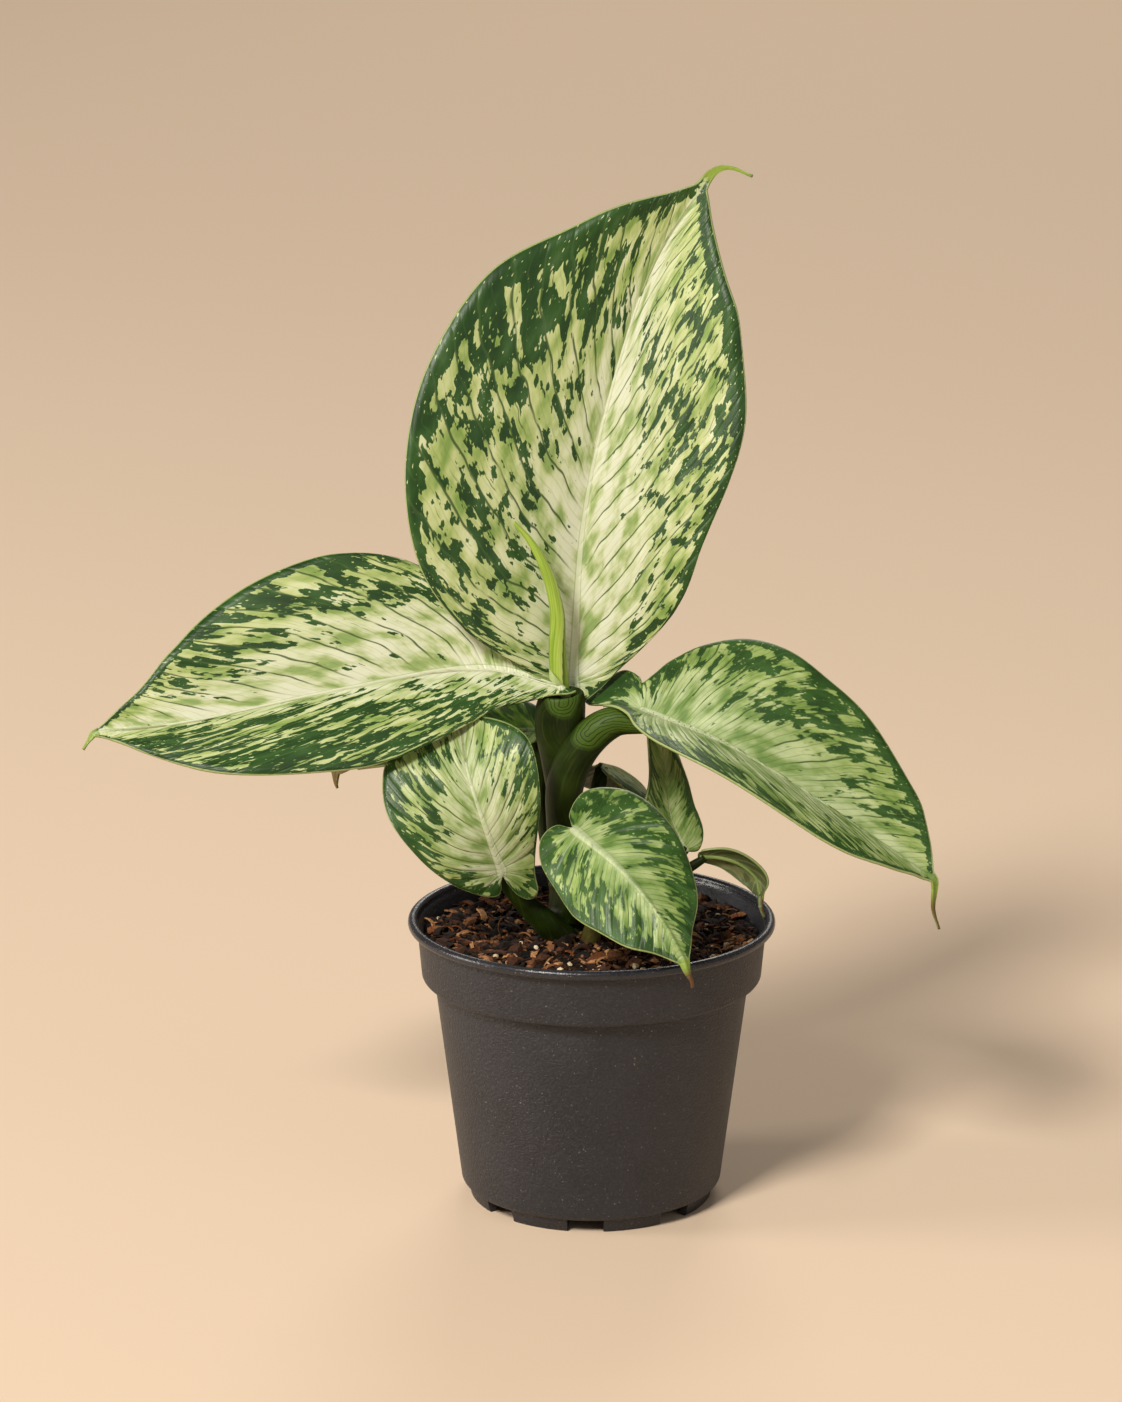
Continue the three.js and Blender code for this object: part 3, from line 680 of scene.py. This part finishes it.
def deep_colour(leaf, vein, inside):
    """The dark patches: lighter at their edges and on the veins, and greyer where the cloud is high, as a
    painted sheen.
    """
    # the lightest, greyer stop is a painted sheen on the dark patches
    stops = [(0.34, (24, 54, 12)), (0.46, (31, 64, 18)), (0.6, (46, 81, 29)), (0.74, (68, 98, 54))]
    deep = leaf.ramp(leaf.cloud, stops)
    deep = leaf.mix(inside.between(0.03, 0, 0, 0.5), deep, (58, 96, 34))
    deep = leaf.mix(vein * 0.25, deep, (84, 112, 62))
    # the lightest, greyer stop here is a painted sheen too
    fresh = leaf.ramp(leaf.cloud, [(0.3, (42, 70, 26)), (0.6, (66, 100, 42)), (0.75, (78, 104, 66))])
    return leaf.mix(leaf.green * 0.6, deep, fresh)


def paint_rib(leaf, colour):
    """Adds the pale rib between two greener lines, and the thin pale margin."""
    width = leaf.position.between(0, 1, 1.9, 0.4) * (leaf.green * -0.45 + 1.0)
    inner = width - leaf.reach
    strength = leaf.math("MULTIPLY_ADD", leaf.green, leaf.position * -0.8 - 0.45, 0.8, clamp=True)
    colour = leaf.mix(inner.between(-0.2, 0.2) * strength, colour, (208, 214, 182))
    colour = leaf.mix(abs(inner).between(0.35, 0.1, 0, 0.5), colour, (128, 150, 84))
    return leaf.mix(leaf.margin.between(0.5, 0.25), colour, (150, 164, 104))


def paint_tip(leaf, colour):
    """Adds the fresh drip tip, its brown end on the greener leaves, and the one withered leaf."""
    colour = leaf.mix(leaf.position.between(0.99, 1.01), colour, (128, 152, 58))
    dry_end = leaf.position.between(1.03, 1.07) * leaf.green.between(0.3, 0.6)
    colour = leaf.mix(dry_end, colour, (92, 62, 32))
    withered = leaf.green.between(1, 1.2) * leaf.position.between(0.5, 0.75)
    return leaf.mix(withered, colour, leaf.mix(leaf.cloud, (104, 88, 34), (140, 124, 58)))


def paint_upper_side():
    leaf = LeafRecipe("leaf upper side")
    vein = dark_veins(leaf)
    dark, inside = dark_patches(leaf)
    colour = leaf.mix(dark, pale_colour(leaf, vein), deep_colour(leaf, vein, inside))
    colour = paint_tip(leaf, paint_rib(leaf, colour))
    grain = leaf.noise(leaf.place(), scale=2600)
    height = grain * 0.3 + leaf.line.between(0, 0.12) * 0.9 + leaf.hairline.between(0, 0.2) * 0.3
    leaf.bump(height, 0.4, 0.0003)
    return leaf.set(Base_Color=colour, Roughness=leaf.cloud.between(0.3, 0.7, 0.44, 0.36), IOR=1.42)


# %% Underside of the leaves
def paint_underside():
    leaf = Recipe("leaf underside")
    across, along, share = leaf.attribute("vein_map")
    green = leaf.attribute("leaf_look")[2]
    patches = leaf.streaks(across * 0.3, along * 0.1, detail=2.5, roughness=0.6)
    shade = (abs(share) * 0.25 + 0.38 - patches).between(-0.04, 0.04)
    colour = leaf.mix(shade, (150, 158, 108), (104, 122, 76))
    colour = leaf.mix(green * 0.8, colour, leaf.mix(shade, (112, 114, 72), (76, 84, 46)))
    line = (across / VEIN_SPACING).off_middle()
    colour = leaf.mix(line.between(0.06, 0, 0, 0.4), colour, (170, 174, 130))
    leaf.bump(leaf.noise(leaf.place(), scale=1800), 0.2, 0.0003)
    return leaf.set(Base_Color=colour, Roughness=0.5, IOR=1.4)


upper_side, underside = paint_upper_side(), paint_underside()
print("leaf materials:", upper_side.name, "/", underside.name)

# %% Stalks and stems
CREASES = 0.72     # creases to a mm
# a paler green round the nested creases, and the painted shade in each crease
CREASE_LIGHT, CREASE_SHADE = (78, 106, 30), (14, 25, 3)


def paint_stalk(name, green, dark, streak, folds=None):
    """Green skin with fine long fibres.

    folds says how many hundredths of the way up the nested creases turn round, and how many mm one is; the
    creases are painted shade.
    """
    stalk = Recipe(name)
    across, along, aside = stalk.attribute("vein_map")
    fibres = stalk.streaks(across * 1.1, along * 0.05, detail=3.0)
    mottle = stalk.noise(stalk.place(), scale=120, detail=3.0)
    colour = stalk.mix(mottle.between(0.35, 0.7), green, dark)
    colour = stalk.mix(fibres.between(0.52, 0.72, 0, 0.45), colour, streak)
    height = fibres
    if folds:
        bend, step = folds
        behind = stalk.math("MAXIMUM", along * -1 + bend, 0) * step
        far = mottle * 4.0 + stalk.math("SQRT", aside * aside + behind * behind)
        inside = far.between(8.6, 6.6)
        crease = (far * CREASES).off_middle().between(0.17, 0.06) * inside
        colour = stalk.mix(inside * 0.6, colour, CREASE_LIGHT)
        # painted shade: a dark line in each crease
        colour = stalk.mix(crease * 0.8, colour, CREASE_SHADE)
        height = fibres - crease
    stalk.bump(height, 0.25, 0.0004)
    return stalk.set(Base_Color=colour, Roughness=0.48, IOR=1.26)


stalk_green = paint_stalk("stalk green", (37, 52, 8), (20, 31, 3), (66, 82, 24))
stalk_folded = paint_stalk("stalk green, creased", (38, 53, 8), (21, 32, 3), (68, 84, 24), folds=(56, 0.75))
sheath_folded = paint_stalk("sheath green, creased", (36, 51, 8), (20, 31, 3), (64, 80, 24), folds=(52, 0.55))
ridge_green = paint_stalk("rib green", (132, 150, 86), (104, 128, 66), (160, 172, 116))
cane_olive = paint_stalk("cane olive", (56, 62, 30), (36, 42, 20), (84, 86, 48))

# %% Dress every leaf
# The left leaf has an open sheath, whose last rings turn back inwards, as the lip of a cup.
SHEATHS = {"leaf_left": [
    (-8, 0, 110, 0, 0, 3.8, 3.6), (-9, -1, 132, 0, 0, 5, 4.6), (-9.9, -1.6, 148, 0, 4, 6.6, 5.4),
    (-10.4, -2.2, 158, -3, 6, 8, 6.2), (-10.2, -2.6, 166, -4, 8, 8.1, 6.2),
    (-9.8, -2.8, 170, -5, 9, 7.2, 5.7), (-9.7, -2.8, 170.8, -5, 9, 6.2, 5),
    (-9.6, -2.8, 170.1, -5, 9, 5.4, 4.4), (-9.6, -2.8, 169.8, -5, 9, 4.4, 3.4),
    (-9.8, -2.4, 166, -5, 9, 3.4, 2.6),
]}


def aside_of_front(turn, t):
    """How far to the side of a stalk's front a point is, in mm."""
    return (turn - 4.2) * 5.5


for seed, (name, leaf) in enumerate(LEAVES.items(), start=1):
    blade = make_blade(name, leaf, seed)
    blade.data.materials.append(upper_side)
    blade.data.materials.append(underside)
    ridge = make_ridge(name, leaf)
    ridge.data.materials.append(ridge_green)
    stalk = make_rod(name + "_stalk", leaf["stalk"], sides=28, rings=40, mark=aside_of_front)
    stalk.data.materials.append(stalk_folded if name == "leaf_right" else stalk_green)
    pieces = [blade, ridge, stalk]
    if name in SHEATHS:
        sheath = make_tube(name + "_sheath", SHEATHS[name])
        sheath.data.materials.append(sheath_folded)
        pieces.append(sheath)
    for piece in pieces:
        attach(piece, "root")
        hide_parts(name)
print("dressed", len(LEAVES), "leaves")

# %% [markdown]
# ## The new leaf
# The youngest leaf is still rolled like a paper cone. Its radius grows a little with each turn, so one
# edge lies over the other as a seam that winds up the spear. A pale wrap holds its foot: a short open cone
# with a slanted rim.

# %% Rolled new leaf
NEW_LEAF = [
    (-9, 1, 134, 2.4), (-9.5, 1, 158, 3), (-10, 1, 171, 3.1), (-11, 0, 184, 3), (-11, -1, 196, 2.6),
    (-13, -2, 206, 2.1), (-16, -3, 214, 1.6), (-20, -3, 221, 1.1), (-25, -3, 227, 0.5),
]
SEAM_START, SEAM_TWIST = 4.4, 2.2     # where the seam starts, and how far it winds, in radians


def from_seam(turn, t):
    """How far round the roll a point is from the outer edge of the leaf, 0 to 1."""
    return ((turn - SEAM_START - SEAM_TWIST * t) % (2 * math.pi)) / (2 * math.pi)


def rolled(turn, t):
    return 0.82 + 0.26 * from_seam(turn, t)


def paint_roll():
    roll = Recipe("new leaf green")
    across, along, seam = roll.attribute("vein_map")
    fibres = roll.streaks(seam * 26.0, along * 0.04, detail=3.0)
    colour = roll.ramp(fibres, [(0.3, (114, 148, 42)), (0.5, (147, 175, 63)), (0.7, (172, 193, 90))])
    # painted shade: darker green just past the seam, where the overlapping edge shades the layer under it
    colour = roll.mix(seam.between(0.12, 0, 0, 0.75), colour, (72, 104, 26))
    colour = roll.mix(seam.between(0.93, 1, 0, 0.7), colour, (196, 212, 124))
    roll.bump(fibres, 0.3, 0.0004)
    return roll.set(Base_Color=colour, Roughness=0.4, IOR=1.4)


spear = make_rod("new_leaf_rolled", NEW_LEAF, sides=72, rings=110, profile=rolled, mark=from_seam)
spear.data.materials.append(paint_roll())

# %% Wrap at its foot
WRAP_X, WRAP_Y, WRAP_FOOT, WRAP_TOP = -10.2, 0.3, 166, 174.6
WRAP_RADIUS = 3.6     # its top rim is cut at a slant and rises by as much to the left


def make_wrap():
    bm = bmesh.new()
    foot, top = WRAP_RADIUS - 0.1, WRAP_RADIUS + 0.1
    bmesh.ops.create_cone(bm, cap_ends=False, segments=40, radius1=foot, radius2=top, depth=10)
    for vert in bm.verts:
        height = WRAP_TOP - vert.co.x if vert.co.z > 0 else WRAP_FOOT
        vert.co = Vector((vert.co.x + WRAP_X, vert.co.y + WRAP_Y, height)) * MM
    made = add_object(bm, "young_leaf_wrap")
    made.modifiers.new("thickness", "SOLIDIFY").thickness = 0.4 * MM
    return made


wrap = make_wrap()
wrap.data.materials.append(paint_stalk("wrap pale green", (176, 188, 132), (148, 166, 100), (196, 204, 156)))
for piece in (spear, wrap):
    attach(piece, "root")
    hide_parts("new_leaf")

# %% [markdown]
# ## Cane and old sheath
# The cane is the true stem. Each fallen leaf has left a ring on it, and one of them a dry stub of sheath.
# The rings need no pieces of their own: a rod is enough whose radius swells at even steps.

# %% Cane
CANE = [(-8, 0, 78, 6.6), (-8, 0, 88, 6.4), (-8, 0, 104, 5.8), (-8, 0, 118, 5)]
CANE_LENGTH, RING_STEP, RING_HEIGHT = 40, 7, 0.06     # the rings stand out by a share of the radius
OLD_SHEATH = [(-1, -7, 84, 3.2), (0, -9, 92, 3), (1, -10.5, 98, 1.4)]


def ringed(turn, t):
    swing = math.cos(t * CANE_LENGTH / RING_STEP * 2 * math.pi + 0.4 * math.sin(turn))
    return 1 + RING_HEIGHT * max(0, swing) ** 6


cane = make_rod("cane_ringed", CANE, sides=36, rings=120, profile=ringed)
cane.data.materials.append(cane_olive)
old_sheath = make_rod("old_sheath_dry", OLD_SHEATH, sides=20, rings=24)
old_sheath.data.materials.append(paint_stalk("dry sheath", (98, 92, 44), (64, 60, 28), (126, 116, 66)))
for piece, node, slot in ((cane, "cane", "stem"), (old_sheath, "old_sheath", "dry_sheath")):
    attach(piece, "root")
    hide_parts(node)

# %% [markdown]
# ## The pot
# A nursery pot is moulded in one thin wall: a rolled lip, a short collar, a step, and a body that
# narrows to the foot. Its outline is turned round the axis. The foot is a ring with gaps that let water
# out, so each stretch between two gaps is turned on its own.

# %% Turn the pot
POT_HEIGHT, RIM_RADIUS, COLLAR_TOP, COLLAR_FOOT = 95, 60, 57, 55.6
STEP, BODY_TOP, BODY_FOOT, FOOT_RADIUS, FOOT_HEIGHT, WALL = 76, 51.5, 42.9, 40, 5, 1.6
FEET, GAP_ANGLE, FEET_TURN = 8, 17, -3
PAD_RADIUS, AXIS = 8, 0.01
LIP_FOOT = POT_HEIGHT - 3


def turn_profile(name, outline, start=0.0, sweep=360.0, steps=160):
    """Turns a closed outline of (radius, height) in mm round the axis."""
    bm = bmesh.new()
    direction = Vector((math.cos(math.radians(start)), math.sin(math.radians(start)), 0))
    verts = [bm.verts.new((direction * r + Vector((0, 0, z))) * MM) for r, z in outline]
    face = bm.faces.new(verts)
    spin = {"cent": (0, 0, 0), "axis": (0, 0, 1), "angle": math.radians(sweep), "steps": steps}
    if sweep >= 360:
        edges = face.edges[:]
        bmesh.ops.delete(bm, geom=[face], context="FACES_ONLY")
        bmesh.ops.spin(bm, geom=verts + edges, use_merge=True, **spin)
    else:
        bmesh.ops.spin(bm, geom=[face], **spin)
    bmesh.ops.remove_doubles(bm, verts=bm.verts, dist=1e-6)
    bmesh.ops.recalc_face_normals(bm, faces=bm.faces)
    turned = add_object(bm, name)
    turned.data.set_sharp_from_angle(angle=math.radians(40))
    return turned


def arc(centre_r, centre_z, radius, start, end, count):
    """Points of a round corner."""
    angles = [math.radians(start + (end - start) * i / count) for i in range(count + 1)]
    return [(centre_r + radius * math.cos(a), centre_z + radius * math.sin(a)) for a in angles]


outer_wall = (
    [(AXIS, FOOT_HEIGHT), (FOOT_RADIUS, FOOT_HEIGHT - 0.6)]
    + arc(BODY_FOOT - 2.4, FOOT_HEIGHT + 1.8, 2.4, -80, -7, 6)
    + [(BODY_TOP - 0.1, STEP - 2.4)]
    + arc(BODY_TOP + 1.1, STEP - 2.2, 1.2, 180, 95, 5)
    + arc(COLLAR_FOOT - 1.3, STEP + 0.3, 1.3, -88, 0, 6)
    + [(COLLAR_TOP, LIP_FOOT - 0.2), (COLLAR_TOP + 0.4, LIP_FOOT)]
)
lip = (
    arc(RIM_RADIUS - 1.2, LIP_FOOT + 1.2, 1.2, -90, 0, 6)
    + arc(RIM_RADIUS - 1.5, POT_HEIGHT - 1.5, 1.5, 5, 175, 12)
    + [(COLLAR_TOP - 0.2, POT_HEIGHT - 2.4)]
)
inner_wall = [
    (COLLAR_TOP - WALL, LIP_FOOT - 2), (COLLAR_FOOT - WALL, STEP + 2), (BODY_TOP - WALL, STEP - 1),
    (BODY_FOOT - WALL, FOOT_HEIGHT + 3), (AXIS, FOOT_HEIGHT + 3),
]
foot_outline = [
    (FOOT_RADIUS - 3, FOOT_HEIGHT), (FOOT_RADIUS - 2.8, 0.5), (FOOT_RADIUS - 2.3, 0),
    (FOOT_RADIUS - 0.6, 0), (FOOT_RADIUS - 0.1, 0.5), (FOOT_RADIUS + 0.9, FOOT_HEIGHT),
]
pad_outline = [
    (AXIS, FOOT_HEIGHT + 1), (AXIS, 0), (PAD_RADIUS - 0.6, 0),
    (PAD_RADIUS, 0.6), (PAD_RADIUS, FOOT_HEIGHT + 1),
]
pot_pieces = [turn_profile("pot_wall", outer_wall + lip + inner_wall)]
for foot in range(FEET):
    start = -90 + FEET_TURN + GAP_ANGLE / 2 + 360 * foot / FEET
    pot_pieces.append(turn_profile("pot_foot_%d" % foot, foot_outline, start, 360 / FEET - GAP_ANGLE, 20))
pot_pieces.append(turn_profile("pot_pad", pad_outline, steps=64))


def paint_pot():
    """Charcoal plastic with a fine grain, scuffs, specks of dust and a shinier lip."""
    pot = Recipe("charcoal plastic")
    grain = pot.noise(pot.place(), scale=1100, detail=3.0, roughness=0.6)
    scuffs = pot.noise(pot.place(), scale=60, detail=4.0)
    dust = pot.noise(pot.place(), scale=1300)
    on_lip = pot.split(pot.place())[2].between((LIP_FOOT - 0.5) * MM, (LIP_FOOT + 0.5) * MM)
    colour = pot.mix(scuffs.between(0.4, 0.75), (31, 31, 36), (40, 40, 46))
    colour = pot.mix(grain.between(0.45, 0.7, 0, 0.5), colour, (55, 55, 61))
    colour = pot.mix(dust.between(0.68, 0.74, 0, 0.7), colour, (128, 124, 118))
    roughness = scuffs.between(0.3, 0.7, 0.42, 0.52) - on_lip * 0.22
    pot.bump(grain * (on_lip * -0.8 + 1.0), 0.65, 0.001)
    return pot.set(Base_Color=colour, Roughness=roughness, IOR=1.48)


charcoal = paint_pot()
for piece in pot_pieces:
    piece.data.materials.append(charcoal)
    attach(piece, "root")
    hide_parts("pot")
print("pot of", len(pot_pieces), "turned pieces")

# %% [markdown]
# ## The soil
# Potting mix is mostly fine crumbs of bark and peat, with reddish chips and fibres lying on top, and a few
# white grains of perlite. The ground is one uneven disc, and the loose bits are small simple solids, each
# pushed a little into it.

# %% Ground
SOIL_TOP, SOIL_FOOT, SOIL_RADIUS = 87.5, 80, 55.0
GROUND_CELLS = 150


def ground(x, y):
    """Height of the soil, in mm."""
    big = noise.noise(Vector((x / 17, y / 17, 1))) * 2.2 + noise.noise(Vector((x / 5, y / 5, 8))) * 1.8
    small = noise.fractal(Vector((x / 4, y / 4, 4)), 0.9, 2.2, 4) * 1.3
    stem = 1.6 * math.exp(-((x + 8) ** 2 + y**2) / 200)
    return SOIL_TOP + big + small + stem


def make_ground():
    """A square grid with a skirt, pressed into a disc and closed below."""
    bm = bmesh.new()
    bmesh.ops.create_grid(bm, x_segments=GROUND_CELLS, y_segments=GROUND_CELLS, size=1)
    rim = [edge for edge in bm.edges if edge.is_boundary]
    for item in bmesh.ops.extrude_edge_only(bm, edges=rim)["geom"]:
        if isinstance(item, bmesh.types.BMVert):
            item.co.z = -1
    for vert in bm.verts:
        a, b = vert.co.x, vert.co.y
        x, y = a * math.sqrt(1 - b * b / 2) * SOIL_RADIUS, b * math.sqrt(1 - a * a / 2) * SOIL_RADIUS
        height = ground(x, y) if vert.co.z > -0.5 else SOIL_FOOT
        vert.co = Vector((x, y, height)) * MM
    bmesh.ops.holes_fill(bm, edges=[edge for edge in bm.edges if edge.is_boundary], sides=0)
    bmesh.ops.recalc_face_normals(bm, faces=bm.faces)
    return add_object(bm, "soil_ground")


soil_ground = make_ground()

# %% Loose bits on the ground
chance = random.Random(11)


def scatter(name, count, make_bit, low, high, sink):
    """Many small solids in one mesh, spread evenly over the soil."""
    bm = bmesh.new()
    bit_tone = bm.verts.layers.float.new("bit_tone")
    for number in range(count):
        own_tone = chance.random()
        angle, far = chance.uniform(0, 2 * math.pi), (SOIL_RADIUS - 1.8) * math.sqrt(chance.random())
        x, y, size = far * math.cos(angle), far * math.sin(angle), chance.uniform(low, high)
        tilts = [chance.uniform(-0.6, 0.6) for axis in "xy"]
        turn = Euler((*tilts, chance.uniform(0, 2 * math.pi))).to_matrix()
        for vert in make_bit(bm, size):
            vert.co = (turn @ vert.co + Vector((x, y, ground(x, y) + size * sink))) * MM
            vert[bit_tone] = own_tone
    return add_object(bm, name, smooth=False)


def crumb(bm, size):
    """An uneven lump."""
    verts = bmesh.ops.create_icosphere(bm, subdivisions=1, radius=size / 2)["verts"]
    width, depth = chance.uniform(0.6, 1), chance.uniform(0.45, 0.8)
    for vert in verts:
        vert.co = Vector((vert.co.x, vert.co.y * width, vert.co.z * depth)) * chance.uniform(0.75, 1.15)
    return verts


def shred(bm, size, width=None, thick=0.5):
    """A strip of bark, bowed like a shaving."""
    verts = bmesh.ops.create_grid(bm, x_segments=6, y_segments=1, size=1)["verts"]
    width, bow = width or chance.uniform(0.5, 1.3), chance.uniform(0.2, 1.3)
    sheet = list(dict.fromkeys(face for vert in verts for face in vert.link_faces))
    thickened = bmesh.ops.extrude_face_region(bm, geom=sheet)["geom"]
    grown = [item for item in thickened if isinstance(item, bmesh.types.BMVert)]
    for vert in grown:
        vert.co.z = 1
    verts = verts + grown
    radius = size / 2 / bow
    for vert in verts:
        angle, far = vert.co.x * bow, radius + vert.co.z * thick
        across = vert.co.y * width * chance.uniform(0.75, 1.2)
        vert.co = Vector((far * math.sin(angle), across, far * math.cos(angle) - radius))
    return verts


def fibre(bm, size):
    return shred(bm, size, width=0.2, thick=0.35)


lumps = scatter("soil_lumps", 210, crumb, 3.5, 8.0, 0.05)
crumbs = scatter("soil_crumbs", 2600, crumb, 0.8, 2.4, 0.2)
chips = scatter("soil_bark_shreds", 560, shred, 3.0, 8.0, 0.14)
fibres = scatter("soil_fibres", 520, fibre, 3.0, 9.0, 0.1)
perlite = scatter("soil_perlite", 80, crumb, 0.9, 3.0, 0.35)


def paint_soil(name, dark, warm, pale):
    """Each bit has a tone of its own, with speckles and patches over it."""
    soil = Recipe(name)
    speckle = soil.noise(soil.place(), scale=900, detail=4.0, roughness=0.7)
    patch = soil.noise(soil.place(), scale=110)
    own = soil.node("ShaderNodeAttribute", out="Fac", attribute_name="bit_tone")
    shade = own * 0.8 + (speckle * 0.6 - 0.3) + (patch * 0.6 - 0.3)
    colour = soil.ramp(shade, [(0.3, dark), (0.62, warm), (0.95, pale)])
    soil.bump(speckle, 0.6, 0.0008)
    return soil.set(Base_Color=colour, Roughness=0.85, IOR=1.35)


soil_finish = {
    soil_ground: paint_soil("peat", (14, 9, 6), (30, 19, 12), (56, 37, 24)),
    lumps: paint_soil("lumps", (24, 14, 9), (76, 45, 27), (148, 98, 62)),
    crumbs: paint_soil("crumbs", (20, 12, 8), (88, 53, 31), (176, 124, 80)),
    chips: paint_soil("bark", (34, 18, 10), (122, 71, 38), (216, 164, 112)),
    fibres: paint_soil("fibres", (52, 30, 17), (124, 80, 48), (214, 168, 120)),
    perlite: paint_soil("perlite", (206, 184, 148), (228, 208, 174), (240, 226, 198)),
}
for piece, finish in soil_finish.items():
    piece.data.materials.append(finish)
    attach(piece, "root")
    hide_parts("soil")
print("soil of", sum(len(o.data.polygons) for o in soil_finish), "faces")

# %% [markdown]
# ## Floor, light and camera
# The plant stands on a plain pale floor. The main warm lamp hangs high at the front left, and it is large,
# so that its shadows are soft. A second one shines from the left, a weak one fills the right side, and one
# far behind lights the distant floor. The camera looks slightly down from the front, as a person at a table
# would.

# %% Floor and light
FLOOR_RADIUS = 7.0     # metres, as are the places and sizes of the lamps
LAMP_AIM = (0, 0, 0.17)


def make_floor():
    bm = bmesh.new()
    bmesh.ops.create_circle(bm, cap_ends=True, radius=FLOOR_RADIUS, segments=96)
    made = add_object(bm, "floor", smooth=False)
    made.data.materials.append(Recipe("pale floor").set(Base_Color=(226, 202, 176), Roughness=0.85))
    return made


floor = make_floor()


def lamp(name, place, size, power, colour):
    light = bpy.data.lights.new(name, "AREA")
    light.size = size
    light.energy = power
    light.color = colour
    made = bpy.data.objects.new(name, light)
    made.location = place
    made.rotation_euler = (Vector(LAMP_AIM) - Vector(place)).to_track_quat("-Z", "Y").to_euler()
    bpy.context.collection.objects.link(made)


lamp("key", (-1.5, -2.5, 2.8), 0.9, 154, (1.0, 0.95, 0.87))
lamp("side", (-4.0, -0.3, 1.3), 1.3, 84, (1.0, 0.95, 0.88))
lamp("fill", (2.6, -2.2, 1.3), 2.4, 14, (0.95, 0.97, 1.0))
lamp("back", (0.6, 5.0, 3.6), 2.5, 95, (1.0, 0.95, 0.88))
world = bpy.data.worlds.new("room")
world.use_nodes = True
background = world.node_tree.nodes["Background"]
background.inputs[0].default_value = (0.93, 0.86, 0.78, 1)
background.inputs[1].default_value = 0.17
bpy.context.scene.world = world
bpy.context.scene.view_settings.view_transform = "Standard"

# %% Camera
FOCAL_PIXELS, PHOTO_HEIGHT = 4500, 1402
CAMERA_PLACE, CAMERA_TILT = (-0.010, -1.4037, 0.5382), 14.8     # metres, and degrees below level
camera_data = bpy.data.cameras.new("camera")
camera_data.sensor_width = 36
camera_data.lens = FOCAL_PIXELS / PHOTO_HEIGHT * camera_data.sensor_width
camera_data.clip_start = 0.05
camera = bpy.data.objects.new("camera", camera_data)
camera.location = CAMERA_PLACE
camera.rotation_euler = (math.radians(90 - CAMERA_TILT), 0, 0)
bpy.context.collection.objects.link(camera)
bpy.context.scene.camera = camera
